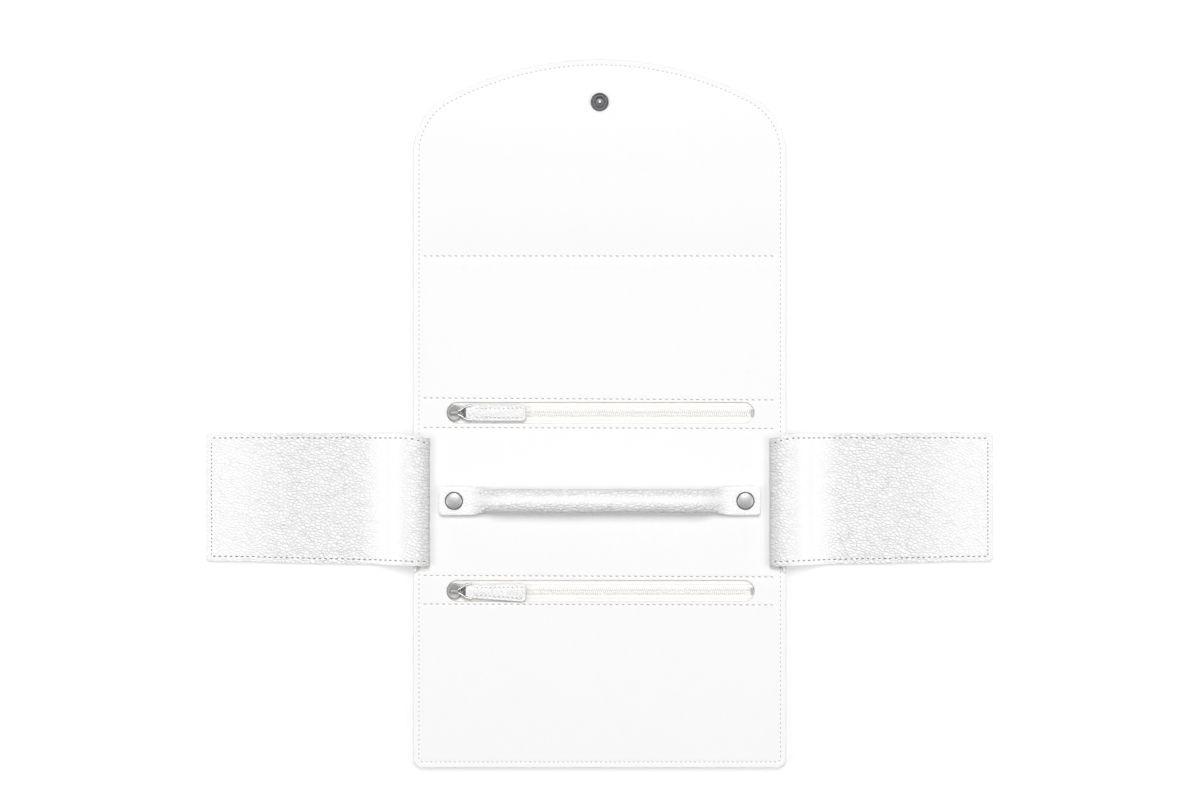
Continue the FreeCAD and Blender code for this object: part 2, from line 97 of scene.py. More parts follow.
# Stretches of the sheet with their bodies, the lines where it bends between them, how far each bend
# reaches to both sides of its line, and the lines halfway between two bends, where it is divided
STRETCHES = {
    "lower": "lower_panel",
    "lower_spine": "lower_spine",
    "middle": "middle_panel",
    "middle_spine": "middle_spine",
    "upper": "upper_panel",
    "flap_spine": "flap_spine",
    "flap": "flap",
}
LININGS = [BOXES[name + "_lining"] for name in STRETCHES]
BENDS = [(below[1].y + above[0].y) / 2 for below, above in zip(LININGS, LININGS[1:])]
TIGHT = 1.2 * MM
SOFT = 2.4 * MM
REACHES = (TIGHT, TIGHT, SOFT, SOFT, SOFT, SOFT)
BEND_CUTS = 5
SPLITS = [(below + above) / 2 for below, above in zip(BENDS, BENDS[1:])]

# Thread: length, width and height of the stitches, and their pitch in a row
STITCH_INSET = 3.0 * MM
STITCH_H = 0.46 * MM
STITCH_PROUD = 0.03 * MM
CROSS_STITCH = (2.1 * MM, 0.68 * MM, STITCH_H)
CROSS_PITCH = 3.22 * MM
EDGE_STITCH = (1.2 * MM, 0.5 * MM, STITCH_H)
EDGE_PITCH = 2.45 * MM
STITCH_SLANT = -8
STITCH_SWAY = 5
GROOVE_W = 1.5 * MM
GROOVE_D = 0.13 * MM
FINE_STITCH = (1.05 * MM, 0.74 * MM, 0.42 * MM)
FINE_PITCH = 2.05 * MM
PULL_STITCH = (1.6 * MM, 0.56 * MM, 0.36 * MM)
PULL_PITCH = 2.3 * MM
PULL_STITCH_INSET = 1.9 * MM
PULL_STITCH_SUNK = 0.08 * MM
TAPE_STITCH = (1.05 * MM, 0.42 * MM, 0.3 * MM)
TAPE_STITCH_GAP = 0.45 * MM
TAPE_STITCH_LIFT = 0.06 * MM

# Zips: each rib of a tape is given as the shares of its width where it starts, peaks and ends
WINDOW_PAST_STOPS = 0.5 * MM
TAPE_SEAM = 1.15 * MM
SLIT_W = 0.04 * MM
SLIT_ROUND = 0.05 * MM
RIBS = ((0.16, 0.22, 0.28), (0.5, 0.53, 0.56))
RIB_H = 0.14 * MM
TOOTH_PITCH = 1.05 * MM
TOOTH_W = 1.0 * MM
TOOTH_LEAN = 0.16

# Blocks of a slider in plan, in mm from its middle: left, near, right and far side. A dish is pressed
# into its plate and into the leather of its pull
SLIDER_KEEL = (-3.2, -3.2, 3.2, 3.2)
SLIDER_POST = (-2.1, -0.25, -0.1, 0.25)
SLIDER_CHEEKS = ((-1.6, 2.0, 2.6, 2.7), (-1.6, -2.7, 2.6, -2.0))
SLIDER_RIDGE = (-3.1, -0.45, -1.2, 0.45)
PLATE_LIFT = 0.15 * MM
PLATE_T = 0.75 * MM
PLATE_ROUND = 0.3 * MM
PLATE_RIM = 0.5 * MM
RIDGE_H = 0.25 * MM
DISH_W = 0.25 * MM
DISH_D = 0.12 * MM
SEAT = 0.1 * MM

# Wings: the grained sheet runs from its sewn strip round a loop, along a level, down a drop and out
# to its tip
WING_T = 1.8 * MM
WING_LEVEL_L = 6.5 * MM
WING_DROP_RUN = 25.0 * MM
WING_CUT_X = 12.0 * MM
WING_CUT_Y = 2.6 * MM
WING_TAPER = 2.6 * MM
WING_CORNER_R = 1.5 * MM
WING_STITCH = (1.75 * MM, *FINE_STITCH[1:])
WING_PITCH = 2.9 * MM
WING_STITCH_INSET = 2.6 * MM
WING_STITCH_SUNK = 0.06 * MM
WING_EDGE_ROUND = 0.3 * MM
CREST_H = 1.0 * MM
CREST_RISE = 6.5 * MM
CREST_FALL = 6.0 * MM
CREST_END = 13.0 * MM
WAVE_START = 20.0 * MM
WAVE_H = 0.35 * MM
WAVE_SWAY = 0.25 * MM
WING_TAIL_W = 2.3 * MM
WING_FOOT_SHORT = 0.4 * MM
WING_ROWS = 60
FOLD_SET = 0.2 * MM
WING_LOW, WING_HIGH = BOXES["right_wing_leather"]
STRIP_LOW, STRIP_HIGH = BOXES["right_wing_hinge_strip"]
HINGE_X = WING_LOW.x
WING_REACH = WING_HIGH.x - HINGE_X
WING_LEVEL = WING_HIGH.z - WING_T / 2
LOOP_R = (WING_LEVEL - PANEL_TOP - WING_T / 2) / 2
LOOP_L = math.pi * LOOP_R
DROP_TURN = 2 * math.atan2(WING_LEVEL - WING_T / 2, WING_DROP_RUN)
DROP_R = WING_DROP_RUN / (2 * math.sin(DROP_TURN))
FLAT_X = WING_LEVEL_L + WING_DROP_RUN
DROP_S = LOOP_L + WING_LEVEL_L
FLAT_S = DROP_S + 2 * DROP_R * DROP_TURN
WING_L = FLAT_S + WING_REACH - FLAT_X

# Ring bar
BAR_LOW, BAR_HIGH = BOXES["ring_bar_cover"]
TAB_LOW, TAB_HIGH = BOXES["ring_bar_left_tab"]
BAR_END = BAR_HIGH.x
BAR_NECK = -TAB_HIGH.x
BAR_NECK_L = 9.4 * MM
BAR_TUBE_W = 12.2 * MM
BAR_CORNER = 1.8 * MM
BAR_ROUND = 0.3 * MM
BAR_AROUND = 64
BAR_NECK_ROOM = 10.0 * MM
PLEAT_X = 64 * MM
PLEAT_REACH = 4 * MM
PLEAT_H = 0.35 * MM
LUMP_H = 0.22 * MM
BAR_BOW = 0.3 * MM

# Light, the lit paper round the case, and the camera's view of 624 mm at the lining
SKY_LEVEL = 0.2
PAPER_SIZE = 6.0
PAPER_Z = -0.15 * MM
PAPER_R = 0.38
PAPER_FADE = 0.5
PAPER_GLOW = 0.5
LAMPS = (
    ("left_box", (-0.95, -0.2, 0.9), 0.5, 4.15),
    ("right_box", (0.95, -0.2, 0.9), 0.5, 4.15),
    ("top_box", (0.0, 1.6, 3.3), 1.8, 94.0),
)
VIEW_W = 0.624
CAMERA_UP = 1.3
CAMERA_X = 0.16 * MM
CAMERA_Y = 7.0 * MM
SENSOR_W = 36.0


# Handling of objects and selections
def clear():
    bpy.ops.object.select_all(action="DESELECT")


def take(piece):
    clear()
    piece.select_set(True)
    bpy.context.view_layer.objects.active = piece


def edit(piece):
    take(piece)
    bpy.ops.object.mode_set(mode="EDIT")
    bpy.ops.mesh.select_mode(type="VERT")
    bpy.ops.mesh.select_all(action="SELECT")


def done():
    bpy.ops.object.mode_set(mode="OBJECT")


def settle(name):
    """Names the new primitive and puts its place and size into its mesh."""
    piece = bpy.context.object
    piece.name = name
    bpy.ops.object.transform_apply(location=True, rotation=True, scale=True)
    return piece


def block(name, low, high):
    """A block between two opposite corners."""
    clear()
    bpy.ops.mesh.primitive_cube_add(size=1, location=(low + high) / 2, scale=high - low)
    return settle(name)


def disc(name, centre, width, depth, low, high, sides):
    """An upright cylinder between two heights, with its half widths along X and Y."""
    clear()
    place = (centre.x, centre.y, (low + high) / 2)
    size = (width, depth, high - low)
    bpy.ops.mesh.primitive_cylinder_add(vertices=sides, radius=1, depth=1, location=place, scale=size)
    return settle(name)


def grid(name, columns, rows):
    """A flat grid of unit size, to be laid along a line."""
    clear()
    bpy.ops.mesh.primitive_grid_add(x_subdivisions=columns, y_subdivisions=rows, size=1)
    return settle(name)


def select_all():
    bpy.ops.mesh.select_all(action="SELECT")


def pick(piece, kind, test):
    """Selects the corners, edges or faces that pass the test, in edit mode."""
    bpy.ops.mesh.select_mode(type=kind)
    bpy.ops.mesh.select_all(action="DESELECT")
    mesh = bmesh.from_edit_mesh(piece.data)
    parts = {"VERT": mesh.verts, "EDGE": mesh.edges, "FACE": mesh.faces}[kind]
    for part in parts:
        if test(part):
            part.select_set(True)
    mesh.select_flush_mode()
    bmesh.update_edit_mesh(piece.data)


def is_rim(edge, up):
    """True on an edge where a level face that looks up (1) or down (-1) meets an upright one."""
    if len(edge.link_faces) != 2:
        return False
    heights = sorted(f.normal.z * up for f in edge.link_faces)
    return heights[1] > 0.9 and abs(heights[0]) < 0.1


def outwards():
    select_all()
    bpy.ops.mesh.normals_make_consistent(inside=False)


def bevel(width, segments):
    bpy.ops.mesh.bevel(offset=width, segments=segments, affect="EDGES")


def inset(width, depth=0.0):
    bpy.ops.mesh.inset(thickness=width, depth=depth)


def merge():
    """Draws corners at one place together."""
    select_all()
    bpy.ops.mesh.remove_doubles(threshold=1e-6)


def slice_at(y, **ends):
    """Cuts a line across the piece that is being edited."""
    select_all()
    bpy.ops.mesh.bisect(plane_co=(0, y, 0), plane_no=(0, 1, 0), **ends)


def modify(piece, kind, **settings):
    """Adds a modifier, sets it and applies it."""
    take(piece)
    bpy.ops.object.modifier_add(type=kind)
    modifier = piece.modifiers[-1]
    for key, value in settings.items():
        setattr(modifier, key, value)
    bpy.ops.object.modifier_apply(modifier=modifier.name)


def cut_out(piece, cutter):
    """Takes the cutter's shape out of the piece."""
    modify(piece, "BOOLEAN", object=cutter, operation="DIFFERENCE", solver="EXACT")
    bpy.data.objects.remove(cutter)


def copy_of(piece, name):
    take(piece)
    bpy.ops.object.duplicate()
    twin = bpy.context.object
    twin.name = name
    return twin


def join(name, *parts):
    take(parts[0])
    for part in parts:
        part.select_set(True)
    bpy.ops.object.join()
    whole = bpy.context.object
    whole.name = name
    return whole


def smooth(piece, angle=15):
    take(piece)
    bpy.ops.object.shade_smooth_by_angle(angle=math.radians(angle))


def paint(piece, material):
    piece.data.materials.clear()
    piece.data.materials.append(material)


def paint_where(piece, material, test):
    """Paints the faces that pass the test with a second material."""
    piece.data.materials.append(material)
    for face in piece.data.polygons:
        if test(face):
            face.material_index = 1


def from_axis(face, centre):
    return math.hypot(face.center.x - centre.x, face.center.y - centre.y)


def keep_values(piece, name, values, kind="FLOAT"):
    """Keeps a value at each corner of a mesh, which its material reads."""
    kept = piece.data.attributes.new(name, kind, "POINT").data
    kept.foreach_set("value" if kind == "FLOAT" else "vector", values)


def keep_place(piece):
    """Keeps where each corner lies now, so that the grain follows the leather when it bends."""
    places = [c for v in piece.data.vertices for c in v.co]
    keep_values(piece, "cut_place", places, "FLOAT_VECTOR")


def dress(piece, body, slot, *nodes):
    """Lets a piece ride on a body in place of CAD parts."""
    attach(piece, body)
    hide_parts(*nodes)


# Soft steps and rounded ends
def ease(share):
    share = min(1.0, max(0.0, share))
    return share * share * (3 - 2 * share)


def band(value, centre, half):
    """1 at the centre, falling softly to 0 half a band away."""
    return ease(1 - abs(value - centre) / half)


def station(stations, share):
    """The place along a piece that belongs to a row of its unit grid."""
    return stations[round((share + 0.5) * (len(stations) - 1))]


def rounded_off(r, left):
    """What a round corner takes off a side, with this length left before its end."""
    past = min(r, max(0.0, r - left))
    return r - math.sqrt(r ** 2 - past ** 2)


def spread(stretches):
    """Even lengths along each stretch, given as its start, end and count."""
    lengths = [stretches[0][0]]
    for a, b, count in stretches:
        lengths += [a + (b - a) * (i + 1) / count for i in range(count)]
    return lengths


# Drawing with a pen: runs and turns, which are also walked along when sewing
def start(name, point):
    """Starts a drawing: a small plane drawn together into one point."""
    clear()
    bpy.ops.mesh.primitive_plane_add(size=MM, location=point)
    piece = settle(name)
    edit(piece)
    bpy.ops.mesh.merge(type="CENTER")
    return piece


def run(x, y, z=0.0):
    bpy.ops.mesh.extrude_region_move(TRANSFORM_OT_translate={"value": (x, y, z)})


def turn(degrees, centre, steps):
    """Carries the pen round a centre in plan, counter-clockwise."""
    bpy.ops.mesh.spin(steps=steps, angle=-math.radians(degrees), center=centre, axis=(0, 0, 1))


def draw(name, point, strokes):
    """A flat face inside strokes, each a run (0, vector) or a turn (degrees, centre)."""
    piece = start(name, point)
    for degrees, place in strokes:
        if degrees:
            turn(degrees, (place[0], place[1], point[2]), max(3, round(degrees / 7)))
        else:
            run(*place)
    merge()
    bpy.ops.mesh.edge_face_add()
    return piece


def thicken(height):
    """Pulls the drawn face up into a plate."""
    select_all()
    run(0, 0, height)
    outwards()


def walk(point, strokes, pitch):
    """Places at an even pitch along strokes, each with its heading and its upward side."""
    places = []
    spot = Vector(point)
    ahead = pitch / 2
    for degrees, place in strokes:
        arm = spot - Vector((place[0], place[1], spot.z))
        way = Vector((place[0], place[1], 0))
        length = math.radians(degrees) * arm.length if degrees else way.length

        def at(share):
            if not degrees:
                return spot + way * share, way.normalized(), UP
            swung = Matrix.Rotation(math.radians(degrees) * share, 3, "Z") @ arm
            return spot - arm + swung, UP.cross(swung).normalized(), UP

        while ahead < length:
            places.append(at(ahead / length))
            ahead += pitch
        ahead -= length
        spot = at(1.0)[0]
    return places


def beads(name, size, places, material, sway=0.0, seed=1, slant=0.0):
    """One mesh of small rounded stitches or teeth at many places, each swayed a little."""
    half = Vector((0.5, 0.5, 0.5))
    form = block("bead", -half, half)
    edit(form)
    bpy.ops.mesh.subdivide(number_cuts=1, smoothness=1.0)
    bpy.ops.transform.resize(value=Vector(size) / math.sqrt(3))
    done()
    smooth(form, 60)
    chance = random.Random(seed)
    sway = math.radians(sway)
    mesh = bmesh.new()
    for spot, heading, up in places:
        tilt = Matrix((heading, up.cross(heading), up)).transposed().to_4x4()
        swung = Matrix.Rotation(math.radians(slant) + chance.uniform(-sway, sway), 4, "Z")
        copy = form.data.copy()
        copy.transform(Matrix.Translation(spot) @ tilt @ swung)
        mesh.from_mesh(copy)
        bpy.data.meshes.remove(copy)
    whole = bpy.data.meshes.new(name)
    mesh.to_mesh(whole)
    mesh.free()
    piece = bpy.data.objects.new(name, whole)
    bpy.context.collection.objects.link(piece)
    bpy.data.objects.remove(form)
    paint(piece, material)
    return piece


# Materials
class Term:
    """A socket in a material's maths: arithmetic on it adds Math nodes."""

    def __init__(self, tree, socket):
        self.tree = tree
        self.socket = socket

    def node(self, kind, settings, inputs, output=0):
        """Adds a node with its settings and the values or links of its sockets."""
        made = self.tree.nodes.new(kind)
        for key, value in settings.items():
            setattr(made, key, value)
        for key, value in inputs.items():
            if isinstance(value, Term):
                self.tree.links.new(value.socket, made.inputs[key])
            else:
                made.inputs[key].default_value = value
        return Term(self.tree, made.outputs[output])

    def maths(self, operation, *values):
        return self.node("ShaderNodeMath", {"operation": operation}, dict(enumerate(values)))

    def vectors(self, operation, inputs, output=0):
        return self.node("ShaderNodeVectorMath", {"operation": operation}, inputs, output)

    def __add__(self, other):
        return self.maths("ADD", self, other)

    def __radd__(self, other):
        return self.maths("ADD", other, self)

    def __sub__(self, other):
        return self.maths("SUBTRACT", self, other)

    def __rsub__(self, other):
        return self.maths("SUBTRACT", other, self)

    def __mul__(self, other):
        return self.maths("MULTIPLY", self, other)

    def __rmul__(self, other):
        return self.maths("MULTIPLY", other, self)

    def sine(self):
        return self.maths("SINE", self)

    def clamp(self):
        return self.node("ShaderNodeClamp", {}, {"Value": self})

    def part(self, axis):
        return self.node("ShaderNodeSeparateXYZ", {}, {"Vector": self}, axis)

    def mapped(self, turn_by=0.0, stretch=(1, 1, 1)):
        """Coordinates that turn a pattern and stretch it along the turned axes."""
        inputs = {"Vector": self, "Rotation": (0, 0, math.radians(turn_by)), "Scale": stretch}
        return self.node("ShaderNodeMapping", {"vector_type": "TEXTURE"}, inputs)

    def noise(self, scale, detail=2.0, roughness=0.5):
        inputs = {"Vector": self, "Scale": scale, "Detail": detail, "Roughness": roughness}
        return self.node("ShaderNodeTexNoise", {}, inputs)

    def cells(self, scale, dimensions="3D"):
        """Distance to the nearest edge of a net of grown cells."""
        settings = {"feature": "DISTANCE_TO_EDGE", "voronoi_dimensions": dimensions}
        return self.node("ShaderNodeTexVoronoi", settings, {"Vector": self, "Scale": scale})

    def shifted(self, amount, scale):
        """The coordinates pushed about by noise, so that a pattern on them looks grown."""
        push = self.node("ShaderNodeTexNoise", {}, {"Vector": self, "Scale": scale}, 1)
        centred = self.vectors("SUBTRACT", {0: push, 1: (0.5, 0.5, 0.5)})
        sized = self.vectors("SCALE", {0: centred, "Scale": amount})
        return self.vectors("ADD", {0: self, 1: sized})

    def looked_at(self):
        """1 on rays from the camera, in mirrors and through glass, and 0 on light."""
        kinds = ("Is Camera Ray", "Is Glossy Ray", "Is Transmission Ray")
        seen, mirrored, through = (self.node("ShaderNodeLightPath", {}, {}, kind) for kind in kinds)
        return (seen + mirrored + through).clamp()

    def colours(self, low, high):
        """A colour between low where this value is 0 and high where it is 1."""
        low, high = (c if isinstance(c, Term) else (*c, 1) for c in (low, high))
        return self.node("ShaderNodeMix", {"data_type": "RGBA"}, {0: self, 6: low, 7: high}, 2)

    def mixed(self, first, second):
        """The first shader where this value is 0 and the second where it is 1."""
        return self.node("ShaderNodeMixShader", {}, {0: self, 1: first, 2: second})


class Finish:
    """A new material with its shader, and the place on the piece as its first term."""

    def __init__(self, name):
        self.material = bpy.data.materials.new(name)
        self.material.use_nodes = True
        tree = self.material.node_tree
        self.shader = tree.nodes["Principled BSDF"]
        coordinates = tree.nodes.new("ShaderNodeTexCoord")
        self.place = Term(tree, coordinates.outputs["Object"])

    def set(self, **inputs):
        for key, value in inputs.items():
            socket = self.shader.inputs[key.replace("_", " ")]
            if isinstance(value, Term):
                value.tree.links.new(value.socket, socket)
            else:
                socket.default_value = value

    def kept(self, name, output="Fac"):
        """A value or a place kept at the corners of the mesh."""
        return self.place.node("ShaderNodeAttribute", {"attribute_name": name}, {}, output)

    def relief(self, height, depth):
        """Raises the surface by depth where height is 1."""
        inputs = {"Height": height, "Strength": 1.0, "Distance": depth}
        self.set(Normal=self.place.node("ShaderNodeBump", {}, inputs))


def shade(tone, level):
    return tuple(level * c for c in tone)


def grained_leather(name, tone, cell, depth, lean, dimensions="2D"):
    """White leather with a leaning pebbled grain whose valleys are painted darker as shade; where the mesh
    says so, its colour is darkened as painted shade, and its grain is flattened and lightened, partly as a
    painted highlight.
    """
    finish = Finish(name)
    place = finish.kept("cut_place", "Vector")
    # Partly painted highlight: where the mesh keeps its flat share, the grain's dark valleys and relief
    # fade, so the leather there is smoother and lighter.
    grain = 1 - finish.kept("flat_grain_and_highlight")
    grown = place.shifted(0.6 * cell, 0.5 / cell).mapped(lean, (1.3, 0.8, 1.0))
    edge = grown.cells(1 / cell, dimensions)
    rise = (edge * 2.6).clamp()
    pebble = rise * (2 - rise)
    patchy = (place.noise(0.4 / cell, 2.0) * 3.0 - 1.0).clamp()
    valley = (1 - (edge * 12.0).clamp()) * (patchy * 0.6 + 0.4)
    loose = place.shifted(2.0 * cell, 0.3 / cell).mapped(lean - 16, (5.0, 0.9, 1.0))
    wrinkle = (1 - (loose.cells(0.4 / cell, dimensions) * 14.0).clamp()) * 0.25
    crease = (valley + wrinkle).clamp() * grain
    # Painted shade: where the mesh keeps its shade share, the leather's colour is darkened.
    light = finish.kept("painted_shade").colours(tone, shade(tone, 0.75))
    # Painted shade: the grain's valleys and wrinkles get a darker colour, for the shade that falls in them.
    finish.set(Base_Color=crease.colours(light, shade(tone, 0.65)))
    finish.set(Roughness=0.46 + crease * 0.14, Specular_IOR_Level=0.4)
    finish.relief((pebble - wrinkle) * grain, depth)
    return finish.material


def smooth_leather(name, tone):
    """White lining leather with a fine, nearly flat grain."""
    finish = Finish(name)
    fine = (finish.place.shifted(0.0006, 700.0).cells(1150.0) * 3.0).clamp()
    cloud = finish.place.noise(30.0, 3.0)
    finish.set(Base_Color=(fine * 0.5 + cloud * 0.5).clamp().colours(shade(tone, 0.965), tone))
    finish.set(Roughness=0.5 + cloud * 0.12, Specular_IOR_Level=0.35)
    finish.relief(fine, 0.02 * MM)
    return finish.material


def edge_paint():
    """Cut edges of the leather, sealed with a pale rosy paint."""
    finish = Finish("edge_paint")
    patch = finish.place.noise(420.0, 4.0)
    finish.set(Base_Color=patch.colours((0.63, 0.53, 0.50), (0.80, 0.72, 0.69)))
    finish.set(Roughness=0.42 + patch * 0.2)
    finish.relief(patch, 0.05 * MM)
    return finish.material


def sewing_thread(name, low, high):
    finish = Finish(name)
    strand = (finish.place.mapped(35).part(0) * 9000.0).sine() * 0.5 + 0.5
    finish.set(Base_Color=strand.colours(low, high), Roughness=0.7)
    finish.relief(strand, 0.04 * MM)
    return finish.material


def woven_tape():
    """Cream zip tape with a fine twill."""
    finish = Finish("woven_tape")
    weft = (finish.place.mapped(45).part(0) * 7200.0).sine() * 0.5 + 0.5
    warp = (finish.place.part(1) * 11000.0).sine() * 0.5 + 0.5
    weave = weft * 0.6 + warp * 0.4
    finish.set(Base_Color=weave.colours((0.89, 0.878, 0.852), (0.93, 0.921, 0.90)))
    finish.set(Roughness=0.78 + weave * 0.1, Specular_IOR_Level=0.25)
    finish.relief(weave, 0.06 * MM)
    return finish.material


def zip_nylon():
    finish = Finish("zip_nylon")
    patch = finish.place.noise(900.0)
    finish.set(Base_Color=patch.colours((0.93, 0.922, 0.895), (0.955, 0.948, 0.928)))
    finish.set(Roughness=0.32 + patch * 0.12)
    return finish.material


def plated_nickel(name, tone, rough):
    """Plated metal with faint brushing and finger wear."""
    finish = Finish(name)
    brush = finish.place.mapped(20, (1, 0.07, 1)).noise(1500.0, 3.0)
    wear = finish.place.noise(260.0, 4.0)
    finish.set(Base_Color=(wear * 0.6 + brush * 0.4).clamp().colours(shade(tone, 0.82), tone))
    finish.set(Roughness=rough + brush * 0.1 + wear * 0.06, Metallic=1.0)
    finish.relief(brush, 0.004 * MM)
    return finish.material


WHITE = (0.9, 0.9, 0.9)
WING_WHITE = (0.905, 0.905, 0.905)
WING_LEATHER = grained_leather("wing_leather", WING_WHITE, 1.9 * MM, 0.31 * MM, -20)
HIDE_LEATHER = grained_leather("hide_leather", WHITE, 2.1 * MM, 0.3 * MM, -20)
BAR_LEATHER = grained_leather("bar_leather", WHITE, 2.1 * MM, 0.36 * MM, 12, "3D")
PULL_LEATHER = grained_leather("pull_leather", WHITE, 1.7 * MM, 0.18 * MM, 20)
LINING_LEATHER = smooth_leather("lining_leather", (0.875, 0.875, 0.875))
EDGE = edge_paint()
THREAD = sewing_thread("sewing_thread", (0.27, 0.265, 0.26), (0.43, 0.42, 0.41))
WING_THREAD = sewing_thread("wing_thread", (0.15, 0.148, 0.145), (0.26, 0.256, 0.25))
TAPE = woven_tape()
NYLON = zip_nylon()
NICKEL = plated_nickel("bright_nickel", (0.33, 0.328, 0.326), 0.36)
# Painted highlight: a lighter copy of the nickel, for the top of the pull wire and the middle of the snap
# socket.
HIGHLIGHT_NICKEL = plated_nickel("painted_highlight_nickel", (0.5, 0.498, 0.495), 0.3)
DULL_NICKEL = plated_nickel("dull_nickel", (0.30, 0.298, 0.296), 0.5)
# Painted shade: a darkened copy of the nickel, put on rims, undersides and hollows.
SHADE_NICKEL = plated_nickel("painted_shade_nickel", (0.11, 0.11, 0.115), 0.32)


# Main sheet
def sheet_strokes(inset):
    """Start and strokes of the sheet's outline, drawn in by an inset."""
    half = HALF_W - inset
    foot = HALF_W - CORNER_R
    low = Y_END + CORNER_R
    shoulder_x = HALF_W - SHOULDER_R
    rise = math.sqrt((TIP_R - SHOULDER_R) ** 2 - shoulder_x ** 2)
    shoulder_y = Y_TIP - TIP_R + rise
    lean = math.degrees(math.atan2(shoulder_x, rise))
    strokes = [
        (0, (0, low - shoulder_y)),
        (90, (-foot, low)),
        (0, (2 * foot, 0)),
        (90, (foot, low)),
        (0, (0, shoulder_y - low)),
        (90 - lean, (shoulder_x, shoulder_y)),
        (2 * lean, (0, Y_TIP - TIP_R)),
        (90 - lean, (-shoulder_x, shoulder_y)),
    ]
    return (-half, shoulder_y), strokes


def sheet_plate(name, inset, low, high):
    point, strokes = sheet_strokes(inset)
    piece = draw(name, (*point, low), strokes)
    thicken(high - low)
    return piece


def edge_groove(piece, up):
    """Sinks a groove for the edge stitching into the face that looks up (1) or down (-1)."""
    pick(piece, "FACE", lambda f: f.normal.z * up > 0.9)
    inset(STITCH_INSET - GROOVE_W / 2)
    inset(GROOVE_W / 2, -GROOVE_D)
    inset(GROOVE_W / 2, GROOVE_D)


def cross_groove(piece, left_y, right_y):
    """Sinks a groove for a stitch row across the lining, from its left end to its right."""
    lean = Vector((left_y - right_y, 2 * HALF_W, 0)).normalized()
    centre = Vector((0, (left_y + right_y) / 2, 0))
    for step in (-0.5, 0, 0.5):
        select_all()
        bpy.ops.mesh.bisect(plane_co=centre + lean * GROOVE_W * step, plane_no=lean)

    def on_row(corner):
        off = (corner.co - centre).dot(lean)
        inside = abs(corner.co.x) < HALF_W - STITCH_INSET - GROOVE_W / 2
        return abs(off) < CLOSE and inside and corner.co.z > PANEL_TOP - CLOSE

    pick(piece, "VERT", on_row)
    bpy.ops.transform.translate(value=(0, 0, -GROOVE_D))


def zip_line(name):
    return middle(name + "_zip_tape").y


def window_cutter(name):
    """The round-ended cut-out of a zip, as long as its end stops and the room past them."""
    y = zip_line(name)
    stops_low, stops_high = BOXES["upper_zip_stops"]
    tape_low, tape_high = BOXES["upper_zip_tape"]
    r = (tape_high.y - tape_low.y) / 2 - TAPE_SEAM
    left = stops_low.x - WINDOW_PAST_STOPS + r
    right = stops_high.x + WINDOW_PAST_STOPS - r
    strokes = [(0, (right - left, 0)), (180, (right, y)), (0, (left - right, 0)), (180, (left, y))]
    cutter = draw("window_cutter", (left, y - r, LINING_LOW - MM), strokes)
    thicken(PANEL_TOP - LINING_LOW + 2 * MM)
    done()
    return cutter


def bend_lines():
    """Cuts fine lines across the sheet where it bends."""
    for line, reach in zip(BENDS, REACHES):
        for i in range(-BEND_CUTS, BEND_CUTS + 1):
            slice_at(line + reach * i / BEND_CUTS)


def part_of(sheet, name, low, high):
    """A copy of the sheet between two lines, with its cut ends closed."""
    piece = copy_of(sheet, name)
    edit(piece)
    if low is not None:
        slice_at(low, use_fill=True, clear_inner=True)
    if high is not None:
        slice_at(high, use_fill=True, clear_outer=True)
    done()
    return piece


def edge_places(z):
    point, strokes = sheet_strokes(STITCH_INSET)
    return walk((*point, z), strokes, EDGE_PITCH)


def row_places(left_y, right_y, z):
    half = HALF_W - STITCH_INSET - CROSS_PITCH / 2
    return walk((-half, left_y, z), [(0, (2 * half, right_y - left_y))], CROSS_PITCH)


def sheet_stitches(name, size, places, low, high, seed):
    """The stitches of a row that lie between two lines."""
    here = [p for p in places if (low is None or p[0].y >= low) and (high is None or p[0].y < high)]
    return beads(name, size, here, THREAD, STITCH_SWAY, seed, STITCH_SLANT)


def paint_rim(piece, level=RIM_LEVEL):
    """Paints the cut edges of a sheet: the faces that lie less level than the rest."""
    paint_where(piece, EDGE, lambda f: abs(f.normal.z) < level)


def lining_sheet():
    lining = sheet_plate("lining_sheet", 0, LINING_LOW, PANEL_TOP)
    edge_groove(lining, 1)
    done()
    for name in ("upper", "lower"):
        cut_out(lining, window_cutter(name))
    edit(lining)
    pick(lining, "EDGE", lambda e: is_rim(e, 1))
    bevel(RIM_ROUND, 3)
    for left_y, right_y in CROSS_ROWS:
        cross_groove(lining, left_y, right_y)
    bend_lines()
    done()
    paint(lining, LINING_LEATHER)
    paint_rim(lining)
    return lining


def core_sheet():
    """What is sewn between hide and lining, seen only as a painted line along the edges."""
    core = sheet_plate("core_sheet", CORE_INSET, HIDE_TOP + LAYER_GAP, LINING_LOW - LAYER_GAP)
    done()
    room = Vector((LAYER_GAP, LAYER_GAP, MM))
    for name in ("upper", "lower"):
        low, high = BOXES[name + "_zip_tape"]
        cut_out(core, block("tape_cutter", low - room, high + room))
    r = radius("closure_stud_plate") + LAYER_GAP
    cut_out(core, disc("plate_cutter", middle("closure_stud_plate"), r, r, 0, PANEL_TOP, 48))
    edit(core)
    bend_lines()
    done()
    paint(core, EDGE)
    return core


def hide_sheet():
    hide = sheet_plate("hide_sheet", 0, 0, HIDE_TOP)
    edge_groove(hide, -1)
    pick(hide, "EDGE", lambda e: is_rim(e, -1))
    bevel(RIM_ROUND, 3)
    bend_lines()
    done()
    r = radius("closure_stud") + STUD_ROOM
    cut_out(hide, disc("stud_cutter", middle("closure_stud"), r, r, -MM, 2 * HIDE_TOP, 48))
    keep_place(hide)
    paint(hide, HIDE_LEATHER)
    paint_rim(hide)
    return hide


